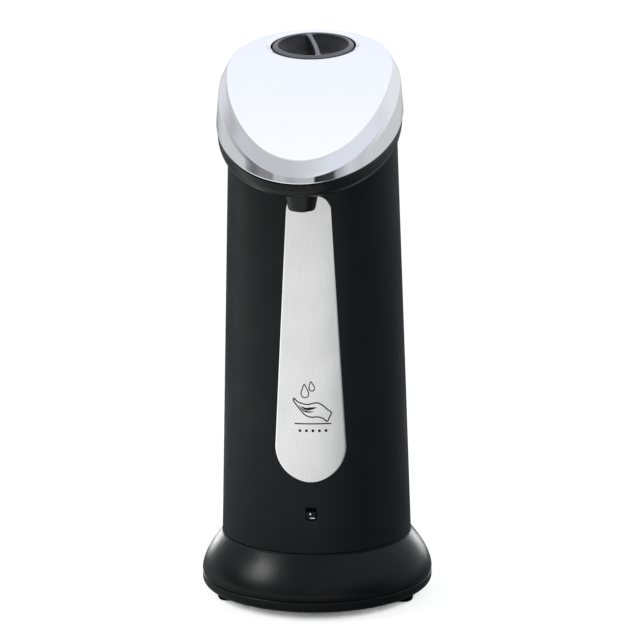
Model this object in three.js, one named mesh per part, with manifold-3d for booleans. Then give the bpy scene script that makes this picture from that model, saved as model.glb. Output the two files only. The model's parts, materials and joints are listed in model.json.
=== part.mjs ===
// Touch-free soap dispenser: a round tapered body on a flared base, with a slanted oval head that
// reaches forward over the hand. Millimetres, +Z up, front towards -Y, standing on the XY plane.
import * as THREE from 'three';
import { mergeVertices } from 'three/addons/utils/BufferGeometryUtils.js';
import Module from 'manifold-3d';

const wasm = await Module();
wasm.setup();

// Clearances shared by all pieces
const seatGap = 0.3; // between fixed pieces that meet
const faceGap = 0.05; // between flat faces that rest on each other
const pushFitGap = 0.1; // round a piece that is pressed into its seat
const slideGap = 0.4; // round a piece that is pushed in or moves
const overrun = 3; // how far a cutting shape runs past the piece it cuts

// Facets
const largeFacets = 40;
const headFacets = 40;
const middleFacets = 24;
const smallFacets = 12;
const screwFacets = 8;
const curveSteps = 5;
const cornerSteps = 2;

// Feet and base
const footHeight = 3.3;
const footRadius = 3.2;
const footInset = 6.7; // from the widest ring of the base to the middle of a foot
const footAngle = THREE.MathUtils.degToRad(23.5);
const footSoleShare = 0.88;
const footRoundShare = 0.25;
const bellReach = 7.3; // from the foot of the sleeve out to the widest ring of the base
const baseWidestHeight = 5.7;
const baseLipRound = 3.1;
const basePlateThickness = 2;
const basePlateTop = 7.2;
const baseLipWall = 2.4;
const baseShoulderDrop = 8.4; // under the seam, where the bell of the skirt turns upright
const skirtWall = 2;
const skirtLedge = 0.2; // how far the top of the skirt stands out from the sleeve
const skirtCollarHeight = 5.5;
const skirtCollarWall = 1.8;

// Body sleeve
const bodyTopHeight = 148; // where the chin hides the sleeve; the sleeve runs on up to the head
const bodyWall = 2;
const bodyTaperReach = 3.85; // how much narrower the top is than the foot
const bodyClearOfTray = 0.72; // from the corners of the battery tray to the foot of the sleeve
const seamRise = 4.75; // of the seam over the battery tray

// Head: the split stands over the body's top, the ridge over the split and the face over the ridge
const headSideReach = 2; // past the top of the body
const headFrontReach = 75.5;
const headRearInset = 0.35; // inside the top of the body
const headWidestSetback = 12; // the widest section lies this far in front of the body axis
const splitFrontRise = 9.5;
const splitRearRise = 32.5;
const ridgeInset = 0.8;
const ridgeFrontRise = 2.3;
const ridgeRearRise = 11;
const ridgeSagitta = 2.6;
const faceSideInset = 3.5;
const faceFrontInset = 4.5;
const faceFrontRise = 4.6;
const faceRearRise = 3.5;
const faceSagitta = 4.2;
const coverWall = 2.7;
const coverLipThickness = 1.2;
const coverLipDepth = 1.8;
const lowerShellInset = 0.4;
const lowerShellWall = 1.8;
const bandHeight = 3.6;
const chinDrop = 2;
const chinFrontInset = 3;
const chinSideInset = 0.5;
const headCollarHeight = 7; // below the lowest point of the sleeve's slanted top
const headCollarWall = 1.2;

// Nozzle
const nozzleInset = 11; // behind the front tip of the head
const nozzleBossRadius = 5.3;
const nozzleBossDrop = 0.6; // under the body's top
const nozzleBossRound = 3;
const nozzleTipRadius = 2.4;
const nozzleTipStandOut = 0.6;
const nozzleTipLength = 6.6;
const nozzleBore = 0.8;
const barbRadius = 1.35;
const barbLength = 2;

// Filler opening and cap, measured along the tilted axis of the opening
const neckClearOfTank = 0.85; // from the neck to the rear of the tank
const capGap = 1.1; // round the cap in the opening
const fillerCollarWall = 1.5;
const fillerCollarDepth = 5;
const capSunk = 0.1;
const capOverhang = 2.3; // past the plug
const capFlangeHeight = 3.2;
const capRimWidth = 2.1;
const capRimRound = 1;
const capDishDepth = 5.6;
const capDishFloorShare = 0.55;
const capFloorThickness = 1.4;
const gripWidth = 1.6;
const gripFlare = 1.1;
const gripSunk = 0.2;
const gripTurn = THREE.MathUtils.degToRad(7);
const plugRadius = 11.9;
const plugDepth = 6;
const plugWall = 1.6;
const plugFloor = 1.6;
const plugGrooveDepth = 1;
const sealThickness = 1.6;
const sealStandOut = 0.5;
const sealRoundShare = 0.25;
const neckWall = 1.8;
const neckStraightDepth = 7.2;
const neckFootInset = 5.4; // inside the plug

// Front plate and sensor window
const plateThickness = 0.6;
const plateTopDrop = 2.2; // under the body's top
const plateTopHalfWidth = 7.6;
const plateTopRound = 5.2;
const plateBottomRise = 25.4; // over the seam
const plateBottomRadius = 12.1;
const windowRise = 11.7; // over the seam
const windowHeight = 5.9;
const windowWidth = 3.9;
const windowRound = 1.2;
const windowRecess = 1.4;
const windowRecessShare = 0.45;
const windowStandOut = 0.15;
const windowFlangeBorder = 2.2;
const windowFlangeThickness = 1.2;

// Sensor and control boards
const boardThickness = 1.2;
const sensorBoardWidth = 11;
const sensorBoardBorder = 4.5;
const ledRadius = 1.5;
const ledLength = 2.2;
const ledPitch = 3.2;
const controlBoardWidth = 32;
const controlBoardHeight = 28;
const controlBoardSetback = 16.2;
const chipSize = 8;
const chipThickness = 1.4;
const ribbonWidth = 4;
const ribbonThickness = 0.5;
const leadRadius = 0.55;
const leadHoleRadius = 1.1;
const leadRise = 6;
const leadBend = 2.5;
const leadSides = 6;
const leadSteps = 12;
const motorLeadOffset = 2;
const motorLeadRise = 10;

// Battery bay
const cellRadius = 5.25;
const cellLength = 44.5;
const cellTerminalRadius = 1.9;
const cellTerminalLength = 1;
const cellCount = 4;
const cellGap = 0.3;
const contactThickness = 0.5;
const contactSpringLength = 1.6;
const contactSpringRadius = 3.4;
const trayWall = 1.5;
const trayCornerRadius = 5;
const doorThickness = 1.6;
const doorCellGap = 0.5;

// Power switch under the base
const switchClearOfTray = 3.25;
const switchKnobLength = 4;
const switchKnobWidth = 2.6;
const switchKnobStandOut = 0.4;
const switchTravel = 3;
const switchCaseBorder = 2;
const switchCaseHeight = 4;

// Screws
const screwRadius = 1.1;
const screwHeadRadius = 2.1;
const screwHeadHeight = 1.2;
const screwHeadEdgeShare = 0.4;
const screwHeadTopShare = 0.7;
const screwLength = 7;
const screwBossRadius = 3.1;
const screwHoleRadius = 1.35;
const baseScrewAcross = 13.5;
const baseScrewClearOfTray = 2.05;
const baseBossTop = 16.5;
const baseRibWidth = 1.6;

// Drive: deck, motor, bracket and gears
const deckThickness = 2;
const deckGap = 1.8; // from the deck's edge to the collar round it
const motorRadius = 10;
const motorHeight = 22;
const motorBossRadius = 3.4;
const motorBossHeight = 1.4;
const motorScrewCircleRadius = 7.6;
const bracketThickness = 2;
const bracketRadius = 25;
const bracketFlatSetback = 14;
const postRadius = 2.2;
const postFrontSetback = -6;
const postRearAcross = 6;
const postRearSetback = 19;
const gearModule = 0.6;
const gearThickness = 3.5;
const pinionTeeth = 10;
const driveGearTeeth = 30;
const gearMeshGap = 0.12;
const gearRise = 0.6;
const shaftRadius = 1.5;
const shaftGap = 0.08;
const motorShaftRadius = 1;
const drivenSide = THREE.MathUtils.degToRad(135);

// Gear pump
const rotorModule = 1.1;
const rotorTeeth = 10;
const rotorThickness = 6;
const rotorGap = 0.25;
const rotorMeshGap = 0.15;
const pumpSetback = -2;
const pumpWall = 1.9;
const pumpFloor = 2;
const pumpCoverThickness = 2;
const pumpCornerRadius = 2.2;
const pumpStandOff = 5;
const pumpLegReach = 3.5;
const portRadius = 1.6;
const portWall = 0.9;
const portSetback = 4.2;
const spigotLength = 2.8;
const sleeveTubeWall = 0.9;
const outletRise = 3.2;

// Tank
const tankWall = 1.5;
const tankFloor = 2;
const tankClearOfPump = 6;
const tankRise = 16; // over the body's top
const tankRunningGap = 0.4;
const gasketThickness = 1;
const lidThickness = 2;
const lidRimDepth = 3;

// Delivery hose
const hoseRadius = 2.3;
const hoseBore = 1.65;
const hoseFlatGap = 0.4;
const hoseCollarGap = 1; // between the hose and the collar of the head
const hoseSides = 8;
const hoseBend = 5;
const hoseTurnRise = 4.6; // over the inside of the chin, at the tank and at the nozzle
const hoseFrontRise = 5.6;
const hoseSteps = 40;

const steel = new THREE.MeshStandardMaterial({ color: '#b9bcc0', roughness: 0.35, metalness: 1 });
const brushed = new THREE.MeshStandardMaterial({ color: '#c9cacb', roughness: 0.32, metalness: 1 });
const chrome = new THREE.MeshStandardMaterial({ color: '#f2f3f5', roughness: 0.06, metalness: 1 });
const blackCase = new THREE.MeshStandardMaterial({ color: '#1b1c1e', roughness: 0.55, metalness: 0 });
const blackGloss = new THREE.MeshStandardMaterial({ color: '#121315', roughness: 0.18, metalness: 0 });
const rubber = new THREE.MeshStandardMaterial({ color: '#0e0e0f', roughness: 0.9, metalness: 0 });
const frosted = new THREE.MeshStandardMaterial({ color: '#dfe3e2', roughness: 0.4, metalness: 0 });
const whitePlastic = new THREE.MeshStandardMaterial({ color: '#ece9e2', roughness: 0.5, metalness: 0 });
const silicone = new THREE.MeshStandardMaterial({ color: '#d4d6d2', roughness: 0.6, metalness: 0 });
const boardGreen = new THREE.MeshStandardMaterial({ color: '#23563a', roughness: 0.6, metalness: 0 });
const cellBlue = new THREE.MeshStandardMaterial({ color: '#3c5d86', roughness: 0.4, metalness: 0.2 });
const brass = new THREE.MeshStandardMaterial({ color: '#b79553', roughness: 0.35, metalness: 1 });
const redLead = new THREE.MeshStandardMaterial({ color: '#a8262a', roughness: 0.6, metalness: 0 });
const blackLead = new THREE.MeshStandardMaterial({ color: '#161616', roughness: 0.6, metalness: 0 });
const lensDark = new THREE.MeshStandardMaterial({ color: '#0a0b0d', roughness: 0.08, metalness: 0 });

// Battery bay, which sets the width of the body; the base and the head follow the body
const floorBottom = footHeight;
const floorTop = floorBottom + basePlateThickness;
const doorBottom = floorBottom + faceGap;
const doorTop = doorBottom + doorThickness;
const cellHeight = doorTop + doorCellGap + cellRadius;
const cellPitch = cellRadius * 2 + cellGap;
const bayWidth = cellPitch * (cellCount - 1) + cellRadius * 2 + slideGap * 2;
const bayLength = cellLength + contactSpringLength + contactThickness * 2 + slideGap * 2;
const bayCeiling = cellHeight + cellRadius + slideGap;
const trayTop = bayCeiling + trayWall;
const trayBottom = floorTop + faceGap;
const contactSetback = bayLength / 2 - contactThickness / 2 - faceGap;
const trayCornerReach = trayCornerRadius + Math.hypot(
  bayWidth / 2 + trayWall - trayCornerRadius, bayLength / 2 + trayWall - trayCornerRadius,
);
const bodyFootRadius = trayCornerReach + bodyClearOfTray;
const bodyTopRadius = bodyFootRadius - bodyTaperReach;
const bodySeamHeight = trayTop + seamRise;
const baseRadius = bodyFootRadius + bellReach;
const switchCaseDepth = switchKnobWidth + switchCaseBorder;
const switchSetback = bayLength / 2 + trayWall + switchClearOfTray + switchCaseDepth / 2;

// Head, nozzle, plate and window over the body
const headHalfWidth = bodyTopRadius + headSideReach;
const headRearReach = bodyTopRadius - headRearInset;
const splitFrontHeight = bodyTopHeight + splitFrontRise;
const splitRearHeight = bodyTopHeight + splitRearRise;
const ridgeFrontHeight = splitFrontHeight + ridgeFrontRise;
const ridgeRearHeight = splitRearHeight + ridgeRearRise;
const faceFrontHeight = ridgeFrontHeight + faceFrontRise;
const faceRearHeight = ridgeRearHeight + faceRearRise;
const nozzleReach = headFrontReach - nozzleInset;
const nozzleBossBottom = bodyTopHeight - nozzleBossDrop;
const nozzleTipTop = nozzleBossBottom + nozzleTipLength;
const plateTop = bodyTopHeight - plateTopDrop;
const plateBottom = bodySeamHeight + plateBottomRise;
const windowBottom = bodySeamHeight + windowRise;

// The body stands behind the middle of the whole outline, because the head reaches forward.
const dispenser = new THREE.Group();
dispenser.name = 'soap_dispenser';
dispenser.position.y = (headFrontReach - baseRadius) / 2;

function addPiece(name, geometry, material, parent = dispenser) {
  const piece = new THREE.Mesh(geometry, material);
  piece.name = name;
  parent.add(piece);
  return piece;
}

function toSolid(geometry) {
  const bare = geometry.clone();
  bare.deleteAttribute('normal');
  bare.deleteAttribute('uv');
  const merged = mergeVertices(bare);
  return new wasm.Manifold(
    new wasm.Mesh({
      numProp: 3,
      vertProperties: new Float32Array(merged.attributes.position.array),
      triVerts: new Uint32Array(merged.index.array),
    }),
  );
}

function toGeometry(solid) {
  const mesh = solid.getMesh();
  const geometry = new THREE.BufferGeometry();
  geometry.setAttribute('position', new THREE.BufferAttribute(mesh.vertProperties, 3));
  geometry.setIndex(new THREE.BufferAttribute(mesh.triVerts, 1));
  geometry.computeVertexNormals();
  return geometry;
}

// A closed profile of [radius, height] pairs turned round the Z axis, listed with its outside going up
function turned(profile, facets) {
  const points = profile.map(([radius, height]) => new THREE.Vector2(radius, height));
  if (profile[0][0] > 0 || profile[profile.length - 1][0] > 0) {
    points.push(points[0].clone());
  }
  return new THREE.LatheGeometry(points, facets).rotateX(Math.PI / 2);
}

function disc(radius, bottom, top, facets, across = 0, setback = 0) {
  const profile = [[0, bottom], [radius, bottom], [radius, top], [0, top]];
  return turned(profile, facets).translate(across, setback, 0);
}

function pipe(outerRadius, innerRadius, bottom, top, facets, across = 0, setback = 0) {
  const profile = [[outerRadius, bottom], [outerRadius, top], [innerRadius, top], [innerRadius, bottom]];
  return turned(profile, facets).translate(across, setback, 0);
}

// A flat outline in X and Y, raised from bottom to top
function raised(shape, bottom, top, facets = cornerSteps) {
  const options = { depth: top - bottom, bevelEnabled: false, curveSegments: facets };
  return new THREE.ExtrudeGeometry(shape, options).translate(0, 0, bottom);
}

// A flat outline in X and Z, run backwards from the front face at the given reach
function runBack(shape, frontReach, length, facets = cornerSteps) {
  const options = { depth: length, bevelEnabled: false, curveSegments: facets };
  const geometry = new THREE.ExtrudeGeometry(shape, options).translate(0, 0, frontReach - length);
  return geometry.rotateX(Math.PI / 2);
}

function block(width, depth, height, across, setback, bottom) {
  return new THREE.BoxGeometry(width, depth, height).translate(across, setback, bottom + height / 2);
}

function roundedRectangle(width, height, corner, across = 0, setback = 0) {
  const shape = new THREE.Shape();
  const left = across - width / 2;
  const right = across + width / 2;
  const low = setback - height / 2;
  const high = setback + height / 2;
  shape.moveTo(left + corner, low);
  shape.lineTo(right - corner, low);
  shape.absarc(right - corner, low + corner, corner, -Math.PI / 2, 0, false);
  shape.absarc(right - corner, high - corner, corner, 0, Math.PI / 2, false);
  shape.absarc(left + corner, high - corner, corner, Math.PI / 2, Math.PI, false);
  shape.absarc(left + corner, low + corner, corner, Math.PI, Math.PI * 1.5, false);
  shape.closePath();
  return shape;
}

// A circle with its front cut flat
function flattedCircle(radius, flatSetback) {
  const shape = new THREE.Shape();
  const flatAngle = Math.asin(flatSetback / radius);
  shape.absarc(0, 0, radius, -flatAngle, Math.PI + flatAngle, false);
  shape.closePath();
  return shape;
}

// The oval of the head, counter-clockwise from its rear point, with half ellipses before and behind
function headRing(halfWidth, rearReach, frontReach, heightAt) {
  const ring = [];
  for (let step = 0; step < headFacets; step += 1) {
    const angle = Math.PI / 2 + (step * Math.PI * 2) / headFacets;
    const sine = Math.sin(angle);
    const reach = sine > 0 ? rearReach + headWidestSetback : frontReach - headWidestSetback;
    const setback = reach * sine - headWidestSetback;
    ring.push(new THREE.Vector3(halfWidth * Math.cos(angle), setback, heightAt(setback)));
  }
  return ring;
}

// A closed body through rings listed from the lowest up; the ends are spanned straight across
function loft(rings) {
  const positions = rings.flat().flatMap((point) => point.toArray());
  const index = [];
  for (let layer = 0; layer + 1 < rings.length; layer += 1) {
    for (let step = 0; step < headFacets; step += 1) {
      const here = layer * headFacets + step;
      const next = layer * headFacets + ((step + 1) % headFacets);
      index.push(here, next, next + headFacets, here, next + headFacets, here + headFacets);
    }
  }
  const topStart = (rings.length - 1) * headFacets;
  for (let step = 0; step < headFacets / 2; step += 1) {
    const mirrored = (headFacets - step) % headFacets;
    if (step > 0) {
      index.push(mirrored, step + 1, step);
      index.push(topStart + step, topStart + step + 1, topStart + mirrored);
    }
    if (step + 1 < headFacets / 2) {
      const mirroredNext = headFacets - step - 1;
      index.push(mirrored, mirroredNext, step + 1);
      index.push(topStart + step + 1, topStart + mirroredNext, topStart + mirrored);
    }
  }
  const geometry = new THREE.BufferGeometry();
  geometry.setAttribute('position', new THREE.Float32BufferAttribute(positions, 3));
  geometry.setIndex(index);
  return geometry;
}

// Height along a shallow arc between the front tip and the rear, taken as a parabola
function archHeight(setback, frontReach, rearReach, frontHeight, rearHeight, sagitta) {
  const share = (setback + frontReach) / (frontReach + rearReach);
  return frontHeight + (rearHeight - frontHeight) * share + 4 * sagitta * share * (1 - share);
}

function splitHeight(setback) {
  return archHeight(setback, headFrontReach, headRearReach, splitFrontHeight, splitRearHeight, 0);
}

function ridgeHeight(setback) {
  return archHeight(
    setback, headFrontReach, headRearReach, ridgeFrontHeight, ridgeRearHeight, ridgeSagitta,
  );
}

const faceFrontReach = headFrontReach - faceFrontInset;
const faceRearReach = headRearReach - faceSideInset;

function faceHeight(setback) {
  return archHeight(
    setback, faceFrontReach, faceRearReach, faceFrontHeight, faceRearHeight, faceSagitta,
  );
}

// Sleeve radius at a height, outside and inside
const bodyTaper = (bodyFootRadius - bodyTopRadius) / (bodyTopHeight - bodySeamHeight);

function sleeveRadius(height) {
  return bodyTopRadius + bodyTaper * (bodyTopHeight - height);
}

// Spur gear outline with involute flanks
const pressureAngle = THREE.MathUtils.degToRad(25);
const addendumShare = 0.85;
const dedendumShare = 1.25;
const toothThinningShare = 0.1;
const flankSteps = 1;

function involute(angle) {
  return Math.tan(angle) - angle;
}

function polar(radius, angle) {
  return new THREE.Vector2(radius * Math.cos(angle), radius * Math.sin(angle));
}

function gearShape(teeth, moduleSize, boreRadius) {
  const pitchRadius = (teeth * moduleSize) / 2;
  const involuteRadius = pitchRadius * Math.cos(pressureAngle);
  const tipRadius = pitchRadius + moduleSize * addendumShare;
  const rootRadius = pitchRadius - moduleSize * dedendumShare;
  const flankStart = Math.max(involuteRadius, rootRadius);
  const halfTooth = ((Math.PI / teeth) * (1 - toothThinningShare)) / 2 + involute(pressureAngle);
  const flank = [[rootRadius, halfTooth]];
  for (let step = 0; step <= flankSteps; step += 1) {
    const radius = flankStart + ((tipRadius - flankStart) * step) / flankSteps;
    flank.push([radius, halfTooth - involute(Math.acos(Math.min(1, involuteRadius / radius)))]);
  }
  const points = [];
  for (let tooth = 0; tooth < teeth; tooth += 1) {
    const middle = (tooth * Math.PI * 2) / teeth;
    for (const [radius, spread] of flank) {
      points.push(polar(radius, middle - spread));
    }
    for (const [radius, spread] of [...flank].reverse()) {
      points.push(polar(radius, middle + spread));
    }
  }
  const shape = new THREE.Shape(points);
  if (boreRadius > 0) {
    shape.holes.push(new THREE.Path().absarc(0, 0, boreRadius, 0, Math.PI * 2, true));
  }
  return shape;
}

function halfSpaceAbove(height) {
  const reach = headFrontReach * 2;
  return toSolid(block(reach, reach, reach, 0, 0, height));
}

// Everything below the slanted split of the head, moved up or down by the rise
function belowHead(rise) {
  const reach = headFrontReach * 2;
  const slope = Math.atan(
    (splitRearHeight - splitFrontHeight) / (headFrontReach + headRearReach),
  );
  const space = block(reach, reach * 2, splitRearHeight, 0, 0, -splitRearHeight)
    .rotateX(slope)
    .translate(0, 0, splitHeight(0) + rise);
  return toSolid(space);
}

// A round route through points, with each corner rounded
function roundedRoute(points, bend) {
  const route = new THREE.CurvePath();
  let from = points[0];
  for (let step = 1; step + 1 < points.length; step += 1) {
    const corner = points[step];
    const before = corner.clone().add(points[step - 1].clone().sub(corner).setLength(bend));
    const after = corner.clone().add(points[step + 1].clone().sub(corner).setLength(bend));
    route.add(new THREE.LineCurve3(from, before));
    route.add(new THREE.QuadraticBezierCurve3(before, corner, after));
    from = after;
  }
  route.add(new THREE.LineCurve3(from, points[points.length - 1]));
  return route;
}

function tubeAlong(route, radius, boreRadius, sides, steps) {
  const section = new THREE.Shape();
  const hole = new THREE.Path();
  for (let side = 0; side < sides; side += 1) {
    const angle = ((side + 0.5) * Math.PI * 2) / sides;
    const method = side === 0 ? 'moveTo' : 'lineTo';
    section[method](radius * Math.cos(angle), radius * Math.sin(angle));
    hole[method](boreRadius * Math.cos(angle), -boreRadius * Math.sin(angle));
  }
  section.closePath();
  hole.closePath();
  if (boreRadius > 0) {
    section.holes.push(hole);
  }
  return new THREE.ExtrudeGeometry(section, { steps, extrudePath: route, bevelEnabled: false });
}

function screwGeometry(length) {
  const profile = [
    [0, -length],
    [screwRadius, -length],
    [screwRadius, 0],
    [screwHeadRadius, 0],
    [screwHeadRadius, screwHeadHeight * screwHeadEdgeShare],
    [screwHeadRadius * screwHeadTopShare, screwHeadHeight],
    [0, screwHeadHeight],
  ];
  return turned(profile, screwFacets);
}

// Feet under the base plate
const footAcross = (baseRadius - footInset) * Math.cos(footAngle);
const footSetback = (baseRadius - footInset) * Math.sin(footAngle);
const sides = [['left', -1], ['right', 1]];
const ends = [['front', -1], ['rear', 1]];

for (const [sideName, side] of sides) {
  for (const [endName, end] of ends) {
    const profile = [
      [0, 0],
      [footRadius * footSoleShare, 0],
      [footRadius, footHeight * footRoundShare],
      [footRadius, floorBottom - faceGap],
      [0, floorBottom - faceGap],
    ];
    const foot = addPiece(`foot_${endName}_${sideName}`, turned(profile, smallFacets), rubber);
    foot.position.set(side * footAcross, end * footSetback, 0);
  }
}

// Battery bay: the tray stands on the base plate, its cells lie front to back
function bayOutline(growth) {
  return roundedRectangle(
    bayWidth + growth * 2, bayLength + growth * 2, growth > 0 ? trayCornerRadius : slideGap,
  );
}

const leadAcross = cellPitch;
const leadSetback = -contactSetback;

function drillLeadHoles(solid, bottom, top) {
  let drilled = solid;
  for (const side of [-1, 1]) {
    const across = side * leadAcross;
    const drill = disc(leadHoleRadius, bottom, top, smallFacets, across, leadSetback);
    drilled = drilled.subtract(toSolid(drill));
  }
  return drilled;
}

const trayShell = toSolid(raised(bayOutline(trayWall), trayBottom, trayTop))
  .subtract(toSolid(raised(bayOutline(0), trayBottom - overrun, bayCeiling)));
addPiece(
  'battery_tray',
  toGeometry(drillLeadHoles(trayShell, bayCeiling - overrun, trayTop + overrun)),
  blackCase,
);

for (let cell = 0; cell < cellCount; cell += 1) {
  const profile = [
    [0, 0],
    [cellRadius, 0],
    [cellRadius, cellLength - cellTerminalLength],
    [cellTerminalRadius, cellLength - cellTerminalLength],
    [cellTerminalRadius, cellLength],
    [0, cellLength],
  ];
  const battery = addPiece(`battery_${cell + 1}`, turned(profile, smallFacets), cellBlue);
  const facing = cell % 2 === 0 ? 1 : -1;
  const tail = bayLength / 2 - contactThickness - contactSpringLength - pushFitGap;
  battery.rotation.x = (-facing * Math.PI) / 2;
  battery.position.set(cellPitch * (cell - (cellCount - 1) / 2), -facing * tail, cellHeight);
}

// Each contact strip has a conical spring for every cell whose flat end it meets
const contactHeight = cellRadius * 2 - slideGap;

for (const [endName, end] of ends) {
  const strip = block(
    bayWidth - slideGap * 2, contactThickness, contactHeight,
    0, end * contactSetback, cellHeight - contactHeight / 2,
  );
  let contact = toSolid(strip);
  for (let cell = 0; cell < cellCount; cell += 1) {
    const facing = cell % 2 === 0 ? 1 : -1;
    if (facing !== end) {
      const cone = turned(
        [
          [0, -contactThickness / 2],
          [contactSpringRadius, -contactThickness / 2],
          [cellTerminalRadius, contactSpringLength + contactThickness / 2],
          [0, contactSpringLength + contactThickness / 2],
        ],
        smallFacets,
      );
      cone.rotateX((end * Math.PI) / 2);
      cone.translate(cellPitch * (cell - (cellCount - 1) / 2), end * contactSetback, cellHeight);
      contact = contact.add(toSolid(cone));
    }
  }
  addPiece(`battery_contact_${endName}`, toGeometry(contact), steel);
}

// Base plate, with the battery opening, the switch slot and the screw holes
const doorWidth = bayWidth - slideGap * 2;
const doorLength = bayLength;
const hingeSetback = doorLength / 2;
const doorEdge = doorThickness / 2;
const lipCurve = new THREE.QuadraticBezierCurve(
  new THREE.Vector2(baseRadius - baseLipRound, floorBottom),
  new THREE.Vector2(baseRadius, floorBottom),
  new THREE.Vector2(baseRadius, baseWidestHeight),
);
const basePlateProfile = [
  [0, floorBottom],
  ...lipCurve.getPoints(curveSteps).map((point) => point.toArray()),
  [baseRadius, basePlateTop],
  [baseRadius - baseLipWall, basePlateTop],
  [baseRadius - baseLipWall, floorTop],
  [0, floorTop],
];
const doorOpening = roundedRectangle(
  doorWidth + slideGap * 2, doorLength + (doorEdge + slideGap) * 2, slideGap,
);
const knobSlot = roundedRectangle(
  switchKnobLength + switchTravel + slideGap * 2, switchKnobWidth + slideGap * 2, slideGap,
  0, -switchSetback,
);
let basePlate = toSolid(turned(basePlateProfile, largeFacets));
for (const cut of [doorOpening, knobSlot]) {
  basePlate = basePlate.subtract(toSolid(raised(cut, floorBottom - overrun, floorTop + overrun)));
}
const baseScrewSetback = bayLength / 2 + trayWall + screwBossRadius + baseScrewClearOfTray;
const baseScrewPlaces = [];
for (const [sideName, side] of sides) {
  for (const [endName, end] of ends) {
    baseScrewPlaces.push({
      name: `base_screw_${endName}_${sideName}`,
      across: side * baseScrewAcross,
      setback: end * baseScrewSetback,
    });
  }
}
for (const place of baseScrewPlaces) {
  const hole = disc(
    screwHoleRadius, floorBottom - overrun, floorTop + overrun, smallFacets, place.across, place.setback,
  );
  basePlate = basePlate.subtract(toSolid(hole));
}
addPiece('base_plate', toGeometry(basePlate), blackCase);

// Battery door, hinged along its rear edge
const doorSlab = raised(
  roundedRectangle(doorWidth, doorLength, doorEdge), doorBottom, doorTop,
);
const doorKnuckle = disc(doorEdge, -doorWidth / 2, doorWidth / 2, smallFacets)
  .rotateY(Math.PI / 2)
  .translate(0, hingeSetback, (doorBottom + doorTop) / 2);
addPiece('battery_door', toGeometry(toSolid(doorSlab).add(toSolid(doorKnuckle))), blackCase);

// Power switch: a case on the base plate and a knob in the slot under it
const switchCaseBottom = floorTop + faceGap;
addPiece(
  'switch_case',
  block(
    switchKnobLength + switchTravel + switchCaseBorder * 2, switchCaseDepth,
    switchCaseHeight, 0, -switchSetback, switchCaseBottom,
  ),
  blackCase,
);
const knobBottom = floorBottom - switchKnobStandOut;
addPiece(
  'switch_knob',
  block(
    switchKnobLength, switchKnobWidth, switchCaseBottom - seatGap - knobBottom,
    -switchTravel / 2, -switchSetback, knobBottom,
  ),
  whitePlastic,
);

// Base skirt: the flared bell, its collar inside the sleeve and the screw bosses
const skirtBottom = basePlateTop + seatGap;
const skirtTop = bodySeamHeight - seatGap;
const skirtTopRadius = bodyFootRadius + skirtLedge;
const shoulderHeight = bodySeamHeight - baseShoulderDrop;
const collarRadius = sleeveRadius(bodySeamHeight + skirtCollarHeight) - bodyWall - seatGap;
const bellCurve = new THREE.QuadraticBezierCurve(
  new THREE.Vector2(baseRadius, skirtBottom),
  new THREE.Vector2(baseRadius, shoulderHeight),
  new THREE.Vector2(skirtTopRadius, skirtTop),
);
const bellInside = new THREE.QuadraticBezierCurve(
  new THREE.Vector2(skirtTopRadius - skirtWall, skirtTop - skirtWall),
  new THREE.Vector2(baseRadius - skirtWall, shoulderHeight),
  new THREE.Vector2(baseRadius - skirtWall, skirtBottom),
);
const bellOutside = bellCurve.getPoints(curveSteps).map((point) => point.toArray());
const skirtProfile = [
  ...bellOutside,
  [collarRadius, skirtTop],
  [collarRadius, bodySeamHeight + skirtCollarHeight],
  [collarRadius - skirtCollarWall, bodySeamHeight + skirtCollarHeight],
  [collarRadius - skirtCollarWall, skirtTop - skirtWall],
  ...bellInside.getPoints(curveSteps).map((point) => point.toArray()),
];
const skirtFilled = toSolid(turned([[0, skirtBottom], ...bellOutside, [0, skirtTop]], largeFacets));
const bossBottom = floorTop + faceGap;
let baseSkirt = toSolid(turned(skirtProfile, largeFacets));
for (const place of baseScrewPlaces) {
  const away = Math.atan2(place.setback, place.across);
  const distance = Math.hypot(place.across, place.setback);
  const ribReach = baseRadius - distance;
  const ribMiddle = ribReach / 2 + distance;
  const rib = block(
    ribReach, baseRibWidth, baseBossTop - skirtBottom, ribMiddle, 0, skirtBottom,
  ).rotateZ(away);
  const boss = disc(
    screwBossRadius, bossBottom, baseBossTop, smallFacets, place.across, place.setback,
  );
  const hole = disc(
    screwHoleRadius, bossBottom - overrun, baseBossTop - skirtWall, smallFacets,
    place.across, place.setback,
  );
  baseSkirt = baseSkirt
    .add(toSolid(rib).intersect(skirtFilled))
    .add(toSolid(boss))
    .subtract(toSolid(hole));
}
addPiece('base_skirt', toGeometry(baseSkirt), blackCase);
for (const place of baseScrewPlaces) {
  const screw = addPiece(place.name, screwGeometry(screwLength), steel);
  screw.rotation.x = Math.PI;
  screw.position.set(place.across, place.setback, floorBottom - faceGap);
}

// Body sleeve with its window slot
const windowTop = windowBottom + windowHeight;
const windowMiddle = windowBottom + windowHeight / 2;
const windowFrontReach = sleeveRadius(windowMiddle);
const windowInsideReach = sleeveRadius(windowTop) - bodyWall;

function windowOutline(growth) {
  return roundedRectangle(
    windowWidth + growth * 2, windowHeight + growth * 2, windowRound, 0, windowMiddle,
  );
}

const sleeveProfile = [
  [bodyFootRadius, bodySeamHeight],
  [sleeveRadius(splitRearHeight), splitRearHeight],
  [sleeveRadius(splitRearHeight) - bodyWall, splitRearHeight],
  [bodyFootRadius - bodyWall, bodySeamHeight],
];
const windowCut = runBack(windowOutline(0), windowFrontReach + overrun, bodyWall + overrun * 2);
addPiece(
  'body_sleeve',
  toGeometry(
    toSolid(turned(sleeveProfile, largeFacets))
      .subtract(toSolid(windowCut))
      .intersect(belowHead(-bandHeight - chinDrop - seatGap)),
  ),
  blackCase,
);

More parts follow.
